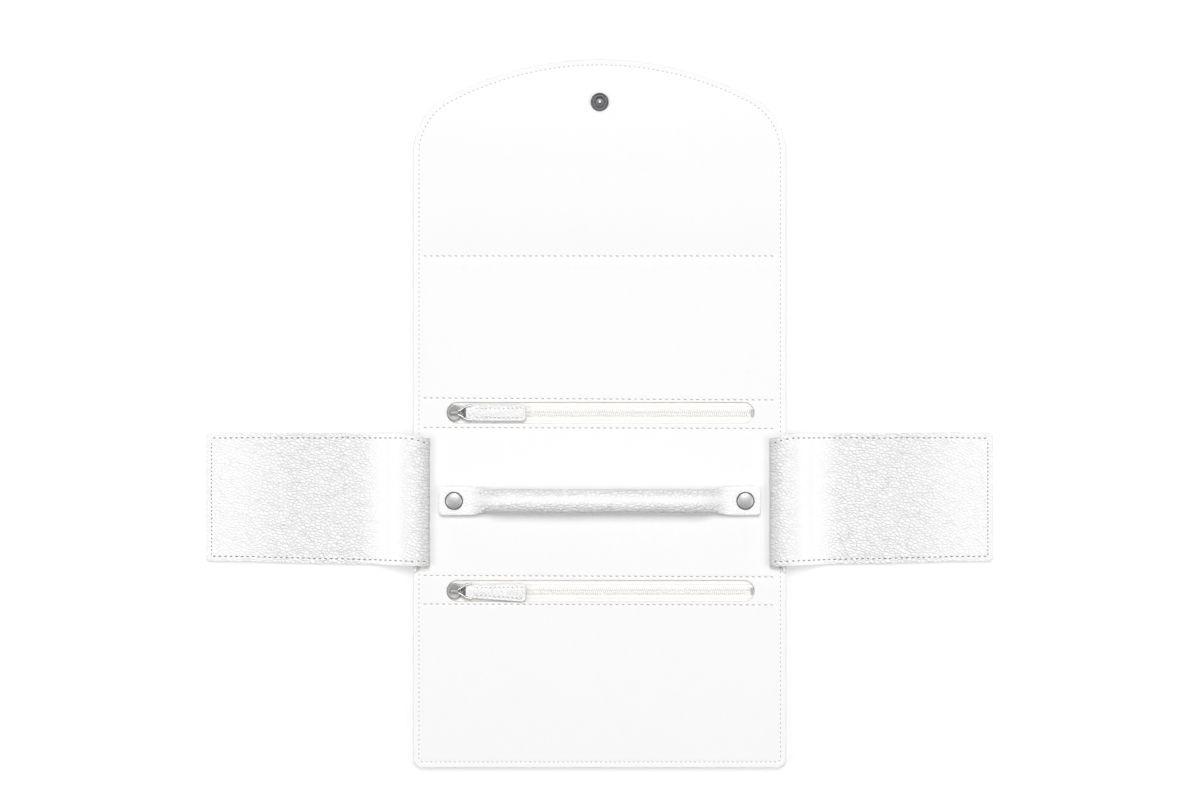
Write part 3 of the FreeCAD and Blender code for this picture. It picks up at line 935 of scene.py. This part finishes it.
def main_sheet():
    """The six bending pieces of lining and hide, each with its stitches."""
    lining = lining_sheet()
    core = core_sheet()
    hide = hide_sheet()
    top_z = PANEL_TOP + STITCH_PROUD - STITCH_H / 2
    edge_row = edge_places(top_z)
    cross_rows = []
    for left_y, right_y in CROSS_ROWS:
        cross_rows += row_places(left_y, right_y, top_z)
    low_row = edge_places(STITCH_H / 2 - STITCH_PROUD)
    names = list(STRETCHES)
    lines = [None, *SPLITS, None]
    for i, (line, reach) in enumerate(zip(BENDS, REACHES)):
        nodes = names[i:i + 1] if i < len(SPLITS) else names[i:]
        name = nodes[-1]
        ends = lines[i], lines[i + 1]
        lined = join(
            name + "_lined",
            part_of(lining, "lining", *ends),
            part_of(core, "core", *ends),
            sheet_stitches("edge_stitches", EDGE_STITCH, edge_row, *ends, i),
            sheet_stitches("cross_stitches", CROSS_STITCH, cross_rows, *ends, i),
        )
        outside = join(
            name + "_hide",
            part_of(hide, "hide", *ends),
            sheet_stitches("low_stitches", EDGE_STITCH, low_row, *ends, i),
        )
        for piece in (lined, outside):
            smooth(piece)
            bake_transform(piece)
        for node in nodes:
            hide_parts(node + "_lining", node + "_stiffener", node + "_seam_allowance")
            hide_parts(node + "_outer_leather")
    for sheet in (lining, core, hide):
        bpy.data.objects.remove(sheet)


# Zips
def zip_tapes(name):
    """The two woven halves of the tape, each with low ribs along the coil."""
    low, high = BOXES[name + "_zip_tape"]
    y, z = middle(name + "_zip_tape").yz
    slit = SLIT_W / 2
    width = (high.y - low.y) / 2 - slit
    halves = []
    for side in (-1, 1):
        near, far = sorted((y + side * slit, y + side * (slit + width)))
        half = block(name + "_tape_half", Vector((low.x, near, low.z)), Vector((high.x, far, high.z)))
        edit(half)
        lines = [[y + side * (slit + width * share) for share in rib] for rib in RIBS]
        for line in sum(lines, []):
            slice_at(line)
        ridges = [rib[1] for rib in lines]
        pick(half, "VERT", lambda v: v.co.z > z and min(abs(v.co.y - r) for r in ridges) < CLOSE)
        bpy.ops.transform.translate(value=(0, 0, RIB_H))
        pick(half, "EDGE", lambda e: all(abs(v.co.y - y) < slit + CLOSE for v in e.verts))
        bevel(SLIT_ROUND, 2)
        done()
        halves.append(half)
    tape = join(name + "_tape", *halves)
    smooth(tape, 40)
    paint(tape, TAPE)
    return tape


def zip_teeth(name):
    """Two rows of small coil turns, one half a pitch ahead of the other."""
    low, high = BOXES[name + "_zip_coil"]
    y = zip_line(name)
    width = high.y - y - SLIT_W / 2
    tall = high.z - low.z
    heading = Vector((TOOTH_LEAN, 1, 0)).normalized()
    places = []
    for side in (-1, 1):
        for i in range(int((high.x - low.x) / TOOTH_PITCH)):
            x = low.x + TOOTH_PITCH * (i + 0.5 + 0.25 * side)
            spot = Vector((x, y + side * (SLIT_W + width) / 2, low.z + 0.3 * tall))
            places.append((spot, heading, UP))
    return beads(name + "_teeth", (width * 1.45, TOOTH_W, tall * 0.8), places, NYLON)


def tape_stitches(name):
    """The line of thread that holds each coil row to its tape."""
    low, high = BOXES[name + "_zip_coil"]
    y = zip_line(name)
    reach = high.y - y + TAPE_STITCH_GAP
    z = low.z + TAPE_STITCH_LIFT
    places = []
    for side in (-1, 1):
        places += walk((low.x, y + side * reach, z), [(0, (high.x - low.x, 0))], FINE_PITCH)
    return beads(name + "_tape_stitches", TAPE_STITCH, places, NYLON, STITCH_SWAY, 3)


def slider(name):
    """Zip slider: rounded plate with a ridge, arched bridge, cheeks, post and keel."""
    low, high = BOXES[name + "_zip_slider"]
    centre = middle(name + "_zip_slider")
    plate_low = PANEL_TOP + PLATE_LIFT
    plate_top = plate_low + PLATE_T
    half = (high - low) / 2
    plate = disc("slider_plate", centre, half.x, half.y, plate_low, plate_top, 40)
    edit(plate)
    pick(plate, "EDGE", lambda e: is_rim(e, 1))
    bevel(PLATE_ROUND, 3)
    pick(plate, "FACE", lambda f: f.normal.z > 0.99)
    inset(PLATE_RIM)
    inset(DISH_W, -DISH_D)
    done()
    parts = [plate]
    keel_top = BOXES[name + "_zip_tape"][0].z - 2 * SEAT
    seat = plate_low + SEAT
    blocks = (
        (SLIDER_KEEL, low.z, keel_top, 0.2),
        (SLIDER_POST, keel_top - SEAT, seat, 0.05),
        (SLIDER_CHEEKS[0], LINING_LOW + PLATE_LIFT, seat, 0.15),
        (SLIDER_CHEEKS[1], LINING_LOW + PLATE_LIFT, seat, 0.15),
        (SLIDER_RIDGE, plate_low, plate_top + RIDGE_H, 0.15),
    )
    for (left, near, right, far), z0, z1, soft in blocks:
        a = Vector((centre.x + left * MM, centre.y + near * MM, z0))
        b = Vector((centre.x + right * MM, centre.y + far * MM, z1))
        part = block("slider_part", a, b)
        edit(part)
        bevel(soft * MM, 2)
        done()
        parts.append(part)
    parts.append(slider_bridge(centre.x, centre.y, plate_top, high.z))
    piece = join(name + "_slider_body", *parts)
    smooth(piece, 35)
    paint(piece, DULL_NICKEL)
    return piece


def slider_bridge(x, y, base, top):
    """The arched strap over the pull's wire, bent from a flat strip."""
    reach = 2.55 * MM
    width = 1.5 * MM
    thick = 0.5 * MM
    rise = top - base - 0.6 * thick
    square = 0.7
    strap = grid("slider_bridge", 18, 2)
    for v in strap.data.vertices:
        angle = math.pi * (0.5 - v.co.x)
        out = math.copysign(abs(math.cos(angle)) ** square, math.cos(angle))
        z = base - SEAT + rise * math.sin(angle) ** square
        v.co = (x - out * reach, y + v.co.y * width, z)
    modify(strap, "SOLIDIFY", thickness=thick, offset=1.0)
    modify(strap, "BEVEL", width=0.12 * MM, segments=2, limit_method="ANGLE")
    edit(strap)
    outwards()
    done()
    return strap


def pull_tab(name, body_w, end_w, turn_by):
    """Leather pull: tapered neck, round free end, stitched along its long sides."""
    low, high = BOXES[name + "_pull_tab"]
    y = zip_line(name)
    neck = 2.6 * MM
    swell = 2.2 * MM
    corner = 2.0 * MM
    root_half = 2.7 * MM
    neck_half = 3.3 * MM
    edge_round = 0.45 * MM
    rim = 0.35 * MM
    crown = 0.16 * MM
    half = body_w / 2
    end_half = end_w / 2
    body = high.x - low.x - neck - swell - corner
    strokes = [
        (0, (neck, root_half - neck_half)),
        (0, (swell, neck_half - half)),
        (0, (body, half - end_half)),
        (90, (high.x - corner, y - end_half + corner)),
        (0, (0, 2 * (end_half - corner))),
        (90, (high.x - corner, y + end_half - corner)),
        (0, (-body, half - end_half)),
        (0, (-swell, neck_half - half)),
        (0, (-neck, root_half - neck_half)),
    ]
    tab = draw(name + "_tab", (low.x, y - root_half, low.z), strokes)
    thicken(high.z - low.z)
    pick(tab, "EDGE", lambda e: is_rim(e, 1) or is_rim(e, -1))
    bevel(edge_round, 4)
    pick(tab, "FACE", lambda f: f.normal.z > 0.99)
    inset(rim)
    inset(DISH_W, -DISH_D)
    inset(DISH_W, crown)
    done()
    smooth(tab, 40)
    keep_place(tab)
    paint(tab, PULL_LEATHER)
    paint_rim(tab, 0.6)
    places = []
    for side in (-1, 1):
        row_y = y + side * (half - PULL_STITCH_INSET)
        spot = (low.x + neck + swell, row_y, high.z - PULL_STITCH_SUNK)
        places += walk(spot, [(0, (body, side * (end_half - half)))], PULL_PITCH)
    rows = beads("pull_stitches", PULL_STITCH, places, THREAD, STITCH_SWAY, 5)
    piece = join(name + "_leather_pull", tab, rows)
    edit(piece)
    pivot = (low.x + 2.0 * MM, y, 0)
    bpy.ops.transform.rotate(value=-math.radians(turn_by), orient_axis="Z", center_override=pivot)
    done()
    return piece


def pull_wire(name):
    """Bent wire that joins the slider's bridge to the sides of the leather pull."""
    low, high = BOXES[name + "_pull_link"]
    y = zip_line(name)
    r = 0.6 * MM
    loop_r = 1.25 * MM
    loop_x = low.x + loop_r + r
    far = Vector((high.x - r, 3.85 * MM))
    elbow = Vector((high.x - 3.6 * MM, 3.35 * MM))
    bar_x = BOXES[name + "_pull_tab"][0].x - r - 0.2 * MM
    bar_half = 2.5 * MM
    z = (low.z + high.z) / 2
    wire = start(name + "_pull_wire", (far.x, y + far.y, z))
    run(elbow.x - far.x, elbow.y - far.y)
    run(loop_x - elbow.x, loop_r - elbow.y)
    turn(180, (loop_x, y, z), 10)
    run(elbow.x - loop_x, loop_r - elbow.y)
    run(far.x - elbow.x, elbow.y - far.y)
    done()
    bar = start(name + "_pull_bar", (bar_x, y - bar_half, z))
    run(0, 2 * bar_half)
    done()
    for part in (wire, bar):
        take(part)
        bpy.ops.object.convert(target="CURVE")
        part.data.bevel_depth = r
        part.data.bevel_resolution = 3
        part.data.use_fill_caps = True
        bpy.ops.object.convert(target="MESH")
    # Painted shade and highlight: the cross bar gets the darkened nickel all over; the wire's upper faces
    # get the lighter nickel and its lower faces the darkened one.
    paint(bar, SHADE_NICKEL)
    paint(wire, HIGHLIGHT_NICKEL)
    paint_where(wire, SHADE_NICKEL, lambda f: f.normal.z < 0.5)
    wire = join(name + "_pull_wire", wire, bar)
    smooth(wire, 50)
    return wire


def zips():
    bodies = {"upper": "middle_panel", "lower": "lower_spine"}
    pulls = {"upper": (8.4 * MM, 8.7 * MM, 0.0), "lower": (7.4 * MM, 9.6 * MM, -1.5)}
    for name, body in bodies.items():
        tape = join(name + "_sewn_tape", zip_tapes(name), tape_stitches(name))
        dress(tape, body, "zip_tape", name + "_zip_tape")
        dress(zip_teeth(name), body, "zip_coil", name + "_zip_coil")
        dress(slider(name), name + "_slider", "nickel", name + "_zip_slider")
        dress(pull_wire(name), name + "_pull", "nickel", name + "_pull_link")
        dress(pull_tab(name, *pulls[name]), name + "_pull", "grained_leather", name + "_pull_tab")


# Wings
def wing_crest(out):
    """The wing rises a little beside its fold before it drops."""
    return CREST_H * ease(out / CREST_RISE) * ease((CREST_END - out) / CREST_FALL)


def wing_spot(s):
    """Place of the wing's middle layer at a length along it: outward reach, height and lean."""
    if s < 0:
        return -s - FOLD_SET, WING_LEVEL - 2 * LOOP_R, math.pi
    if s < LOOP_L:
        angle = s / LOOP_R
        z = WING_LEVEL - LOOP_R - LOOP_R * math.cos(angle)
        return -FOLD_SET - LOOP_R * math.sin(angle), z, math.pi - angle
    if s < DROP_S:
        out = s - LOOP_L
        return out - FOLD_SET * (1 - out / WING_LEVEL_L), WING_LEVEL + wing_crest(out), 0.0
    if s < (DROP_S + FLAT_S) / 2:
        angle = (s - DROP_S) / DROP_R
        out = WING_LEVEL_L + DROP_R * math.sin(angle)
        return out, WING_LEVEL - DROP_R * (1 - math.cos(angle)) + wing_crest(out), -angle
    if s < FLAT_S:
        angle = (FLAT_S - s) / DROP_R
        return FLAT_X - DROP_R * math.sin(angle), WING_T / 2 + DROP_R * (1 - math.cos(angle)), -angle
    return FLAT_X + s - FLAT_S, WING_T / 2, 0.0


def wing_sides(s):
    """Lower and upper edge of the wing at a length along it."""
    out = wing_spot(s)[0]
    over = ease(s / LOOP_L)
    bottom = WING_LOW.y + WING_TAPER * max(out, 0.0) / WING_REACH
    top = WING_HIGH.y - WING_CUT_Y * max(0.0, 1 - max(out, 0.0) / WING_CUT_X) ** 2
    tail = s < 0 and out > STRIP_HIGH.x - HINGE_X - WING_TAIL_W
    foot = STRIP_LOW.y if tail else WING_LOW.y + WING_FOOT_SHORT
    below = foot + (bottom - foot) * over
    above = STRIP_HIGH.y + (top - STRIP_HIGH.y) * over
    shorten = rounded_off(WING_CORNER_R, WING_REACH - out) if s > 0 else 0.0
    return below + shorten, above - shorten


def strip_lengths():
    return spread([(HINGE_X + FOLD_SET - STRIP_HIGH.x, 0.0, 6)])


def wing_lengths():
    """Lengths along the wing from its sewn strip to its tip, closest where it turns most."""
    corner = WING_L - WING_CORNER_R
    return spread([
        (0.0, LOOP_L, 14),
        (LOOP_L, DROP_S, 8),
        (DROP_S, FLAT_S, 28),
        (FLAT_S, corner, 44),
        (corner, WING_L, 6),
    ])


def wing_wave(side, s, y):
    """How the flat of a wing ripples: a little up and a little along Y."""
    out = wing_spot(s)[0]
    flat = ease((out - FLAT_X) / WAVE_START) if s > 0 else 0.0
    lift = noise.noise(Vector((out * 38, y * 38, side * 3.0))) + 0.5
    sway = noise.noise(Vector((out * 60, 2.0, side * 7.0)))
    return Vector((0, WAVE_SWAY * sway * flat, WAVE_H * max(0.0, lift) * flat))


def wing_stitch(side, face, s, y, along):
    """A stitch place on the grained face (1) or the back (-1) of a wing, along it or across it."""
    out, z, lean = wing_spot(s)
    ahead = Vector((side * math.cos(lean), 0, math.sin(lean)))
    up = Vector((-side * math.sin(lean), 0, math.cos(lean)))
    spot = Vector((side * (HINGE_X + out), y, z)) + wing_wave(side, s, y)
    lift = (WING_T / 2 - WING_STITCH_SUNK) * face
    return spot + up * lift, ahead if along else Vector((0, 1, 0)), up


def wing_side_places(side):
    """Stitch places along the two long sides of a wing, on both faces."""
    last = WING_L - WING_STITCH_INSET
    places = []
    for face in (1, -1):
        for i in range(int((last - 0.75 * LOOP_L) / WING_PITCH) + 1):
            s = last - WING_PITCH * (i + 0.5)
            below, above = wing_sides(s)
            for y in (above - WING_STITCH_INSET, below + WING_STITCH_INSET):
                places.append(wing_stitch(side, face, s, y, True))
    return places


def wing_tip_places(side):
    """Stitch places across the tip of a wing, on both faces."""
    s = WING_L - WING_STITCH_INSET
    below, above = wing_sides(s)
    first = below + WING_STITCH_INSET
    rows = range(int((above - WING_STITCH_INSET - first) / FINE_PITCH))
    ys = [first + FINE_PITCH * (i + 0.5) for i in rows]
    return [wing_stitch(side, face, s, y, False) for face in (1, -1) for y in ys]


def leather_sheet(name, side, lengths):
    """A grid laid along a stretch of the wing's line and given its thickness."""
    sheet = grid(name, len(lengths) - 1, WING_ROWS)
    flat = []
    shade_share = []
    cut = []
    for v in sheet.data.vertices:
        s = station(lengths, v.co.x)
        below, above = wing_sides(s)
        y = below + (above - below) * (v.co.y + 0.5)
        out, z, _ = wing_spot(s)
        v.co = Vector((side * (HINGE_X + out), y, z)) + wing_wave(side, s, y)
        share = s / WING_L
        cut += [side * (HINGE_X + s), y, 0]
        # Partly painted highlight: a band beside the fold and the wing's outer part keep flatter, lighter
        # grain.
        flat.append(0.96 * band(share, 0.19, 0.15) + 0.42 * ease((share - 0.6) / 0.32))
        # Painted shade: a band along the fold and the whole sewn strip are darkened.
        shade_share.append(band(share, 0.02, 0.055) if s > 0 else 1.0)
    keep_values(sheet, "flat_grain_and_highlight", flat)
    keep_values(sheet, "painted_shade", shade_share)
    keep_values(sheet, "cut_place", cut, "FLOAT_VECTOR")
    edit(sheet)
    if side < 0:
        bpy.ops.mesh.flip_normals()
    done()
    for material in (WING_LEATHER, LINING_LEATHER, EDGE):
        sheet.data.materials.append(material)
    modify(sheet, "SOLIDIFY", thickness=WING_T, offset=0.0, material_offset=1, material_offset_rim=2)
    sharp = {"limit_method": "ANGLE", "angle_limit": math.radians(50)}
    modify(sheet, "BEVEL", width=WING_EDGE_ROUND, segments=2, material=2, **sharp)
    smooth(sheet, 35)
    return sheet


def sewn(name, sheet, *rows):
    """Joins rows of thread, each a stitch size and its places, to a leather sheet."""
    threads = [beads("wing_stitches", size, places, WING_THREAD, 4, 9) for size, places in rows]
    return join(name, sheet, *threads)


def strip_places(side):
    """Stitch places down the middle of a wing's strip."""
    s = strip_lengths()[0] / 2
    out, z, _ = wing_spot(s)
    below, above = wing_sides(s)
    spot = (side * (HINGE_X + out), below + WING_STITCH_INSET, z + WING_T / 2 - WING_STITCH_SUNK)
    return walk(spot, [(0, (0, above - below - 2 * WING_STITCH_INSET))], FINE_PITCH)


def wings():
    for name, side in (("left_wing", -1), ("right_wing", 1)):
        strip = leather_sheet(name + "_strip", side, strip_lengths())
        strip = sewn(name + "_sewn_strip", strip, (FINE_STITCH, strip_places(side)))
        dress(strip, "middle_panel", "grained_leather", name + "_hinge_strip")
        sheet = leather_sheet(name + "_sheet", side, wing_lengths())
        side_rows = WING_STITCH, wing_side_places(side)
        tip_row = FINE_STITCH, wing_tip_places(side)
        sheet = sewn(name + "_leather_sheet", sheet, side_rows, tip_row)
        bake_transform(sheet)
        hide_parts(name + "_leather", name + "_backing")


# Ring bar
def bar_form(x):
    """Width, bottom, top and squareness of the bar's section at a place along it."""
    left = BAR_END - abs(x)
    inward = BAR_NECK - abs(x)
    swell = ease(inward / BAR_NECK_L + 0.05)
    rise = ease(inward / (1.9 * BAR_NECK_L) + 0.05)
    tab_w = BAR_HIGH.y - BAR_LOW.y
    width = tab_w + (BAR_TUBE_W - tab_w) * swell - 2 * rounded_off(BAR_CORNER, left)
    pinch = rounded_off(BAR_ROUND, left)
    bottom = TAB_LOW.z + (BAR_LOW.z - TAB_LOW.z) * rise + pinch
    top = TAB_HIGH.z + (BAR_HIGH.z - TAB_HIGH.z) * rise - pinch
    return width, bottom, top, 7.0 - 4.4 * swell, swell


def bar_stations():
    """Places along the bar, closest at its ends and necks."""
    right = spread([
        (BAR_END, BAR_END - BAR_ROUND, 4),
        (BAR_END - BAR_ROUND, BAR_END - BAR_CORNER, 5),
        (BAR_END - BAR_CORNER, BAR_NECK, 14),
        (BAR_NECK, BAR_NECK - BAR_NECK_ROOM, 18),
        (BAR_NECK - BAR_NECK_ROOM, 0.0, 40),
    ])
    return [-x for x in right] + right[-2::-1]


def squared(value, square):
    return math.copysign(abs(value) ** (2 / square), value)


def ring_bar():
    """The padded bar: a strip of leather rolled round its filling and pressed flat at both ends."""
    y = middle("ring_bar_cover").y
    stations = bar_stations()
    bar = grid("ring_bar_leather", len(stations) - 1, BAR_AROUND)
    flat = []
    shade_share = []
    for v in bar.data.vertices:
        x = station(stations, v.co.x)
        angle = 2 * math.pi * v.co.y - math.pi / 2
        width, bottom, top, square, swell = bar_form(x)
        across = squared(math.cos(angle), square)
        upward = squared(math.sin(angle), square)
        gather = math.exp(-((abs(x) - PLEAT_X) / PLEAT_REACH) ** 2)
        pleat = noise.noise(Vector((x * 90, across * 5, upward * 3))) * PLEAT_H * gather
        lump = noise.noise(Vector((x * 55, across * 0.9, upward * 0.9))) * LUMP_H * swell
        half = width / 2 + (lump + pleat * 0.4) * abs(math.cos(angle))
        tall = (top - bottom) / 2 + min(0.0, pleat + lump)
        bow = BAR_BOW * noise.noise(Vector((x * 14, 2.0, 0.0))) * swell
        v.co = (x, y + across * half + bow, (top + bottom) / 2 + upward * tall)
        # Painted highlight, partly real: the tube's crown keeps flatter, lighter grain, and the pressed tabs
        # keep some.
        crown = 0.85 * band(across, 0.12, 0.5) * (math.sin(angle) > 0)
        flat.append(0.6 + (crown - 0.6) * swell)
        # Painted shade: the tube is darkened a little, and more towards both of its sides.
        shade_share.append((0.1 + 0.4 * ease((abs(across - 0.1) - 0.35) / 0.35)) * swell)
    keep_values(bar, "flat_grain_and_highlight", flat)
    keep_values(bar, "painted_shade", shade_share)
    keep_place(bar)
    edit(bar)
    merge()
    pick(bar, "EDGE", lambda e: len(e.link_faces) == 1)
    bpy.ops.mesh.edge_face_add()
    outwards()
    done()
    smooth(bar, 60)
    paint(bar, BAR_LEATHER)
    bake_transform(bar)
    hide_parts("ring_bar_cover", "ring_bar_core", "ring_bar_left_tab")


# Snaps, turned on a lathe
def lathe(name, x, y, profile):
    """Spins a profile of radius and height round an upright axis."""
    r, z = profile[0]
    piece = start(name, (x + r, y, z))
    for r_next, z_next in profile[1:]:
        run(r_next - r, 0, z_next - z)
        r, z = r_next, z_next
    select_all()
    bpy.ops.mesh.spin(steps=48, angle=2 * math.pi, center=(x, y, 0), axis=(0, 0, 1))
    merge()
    outwards()
    done()
    smooth(piece, 40)
    return piece


def snap_cap(name, body):
    """Domed snap cap whose edge curls under it; that edge is painted dark as shade."""
    centre = middle(name)
    r = radius(name)
    base = TAB_HIGH.z - SEAT
    shoulder = base + 0.6 * MM
    rise = BOXES[name][1].z - shoulder
    profile = [(0, base), (r - 0.6 * MM, base), (r - 0.15 * MM, base + 0.15 * MM), (r, base + 0.4 * MM)]
    for i in range(11):
        angle = math.pi / 2 * i / 10
        profile.append(((r - 0.1 * MM) * math.cos(angle), shoulder + rise * math.sin(angle)))
    piece = lathe(name + "_turned", centre.x, centre.y, profile)
    paint(piece, NICKEL)
    # Painted shade: the faces near the cap's edge get the darkened nickel.
    paint_where(piece, SHADE_NICKEL, lambda f: from_axis(f, centre) > r - 0.6 * MM)
    dress(piece, body, "nickel", name)


def flap_socket():
    """Socket half of the closing snap: rolled rim, sunk ring and a bore; painted dark as shade, with a
    painted highlight at its centre.
    """
    centre = middle("flap_snap_socket")
    r = radius("flap_snap_socket")
    base = BOXES["flap_snap_socket"][0].z - 0.05 * MM
    top = BOXES["flap_snap_socket"][1].z
    rings = ((0.5, 0.2), (0.9, 0.35), (1.1, 0.8), (1.5, 0.8), (1.7, 0.15), (2.0, 0), (2.35, 0.1), (2.6, 0.4))
    profile = [(0, base), (r - 0.2 * MM, base), (r, base + 0.4 * MM), (r - 0.1 * MM, top - 0.5 * MM)]
    profile += [(r - inward * MM, top - down * MM) for inward, down in rings]
    profile += [(r - 2.65 * MM, base + 0.2 * MM), (0.9 * MM, base + 0.2 * MM)]
    profile += [(0.6 * MM, base + 0.35 * MM), (0, base + 0.4 * MM)]
    piece = lathe("flap_snap_turned", centre.x, centre.y, profile)
    # Painted shade and highlight: the socket gets the darkened nickel, and its centre the lighter one.
    paint(piece, SHADE_NICKEL)
    paint_where(piece, HIGHLIGHT_NICKEL, lambda f: from_axis(f, centre) < 0.7 * MM)
    dress(piece, "flap", "nickel", "flap_snap_socket")


def kept_metal():
    """The CAD's own small metal parts get their plating."""
    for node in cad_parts.values():
        if not node.hide_render:
            for slot in node.material_slots:
                slot.material = NICKEL


# Stage
def floor():
    """Pale paper that runs out into plain white well away from the case."""
    clear()
    bpy.ops.mesh.primitive_plane_add(size=PAPER_SIZE, location=(0, 0, PAPER_Z))
    ground = settle("floor")
    finish = Finish("floor_paper")
    place = finish.place
    finish.set(Base_Color=place.noise(3.0).colours((0.95, 0.95, 0.95), (0.96, 0.96, 0.96)))
    finish.set(Roughness=0.9, Specular_IOR_Level=0.0)
    away = place.vectors("LENGTH", {0: place}, "Value")
    past = ((away - PAPER_R) * (1 / PAPER_FADE)).clamp()
    glow = (past * past * (1 - PAPER_GLOW) + PAPER_GLOW) * place.looked_at()
    white = place.node("ShaderNodeEmission", {}, {"Color": (1, 1, 1, 1), "Strength": 1.0})
    mix = glow.mixed(Term(place.tree, finish.shader.outputs[0]), white)
    place.tree.links.new(mix.socket, place.tree.nodes["Material Output"].inputs["Surface"])
    paint(ground, finish.material)


def sky():
    """Soft studio surround, white where the camera and reflections look at it."""
    world = bpy.data.worlds.new("studio")
    bpy.context.scene.world = world
    world.use_nodes = True
    tree = world.node_tree
    tree.nodes["Background"].inputs["Color"].default_value = (1, 1, 1, 1)
    tree.nodes["Background"].inputs["Strength"].default_value = SKY_LEVEL
    light = Term(tree, tree.nodes["Background"].outputs[0])
    white = light.node("ShaderNodeBackground", {}, {"Color": (1, 1, 1, 1)})
    mix = light.looked_at().mixed(light, white)
    tree.links.new(mix.socket, tree.nodes["World Output"].inputs["Surface"])


def lamp(name, place, size, power):
    """A square soft box that looks at the middle of the case."""
    clear()
    bpy.ops.object.light_add(type="AREA", location=place)
    light = bpy.context.object
    light.name = name
    light.data.size = size
    light.data.energy = power
    light.rotation_euler = (-Vector(place)).to_track_quat("-Z", "Y").to_euler()


def camera():
    """Looks straight down at the case, from a little above its middle."""
    clear()
    bpy.ops.object.camera_add(location=(CAMERA_X, CAMERA_Y, PANEL_TOP + CAMERA_UP), rotation=(0, 0, 0))
    eye = bpy.context.object
    eye.data.sensor_width = SENSOR_W
    eye.data.lens = SENSOR_W * CAMERA_UP / VIEW_W
    bpy.context.scene.camera = eye


main_sheet()
zips()
wings()
ring_bar()
snap_cap("left_bar_snap_cap", "middle_panel")
snap_cap("right_bar_snap_cap", "ring_bar")
flap_socket()
kept_metal()
floor()
sky()
for lamp_settings in LAMPS:
    lamp(*lamp_settings)
camera()
bpy.context.scene.view_settings.view_transform = "Standard"
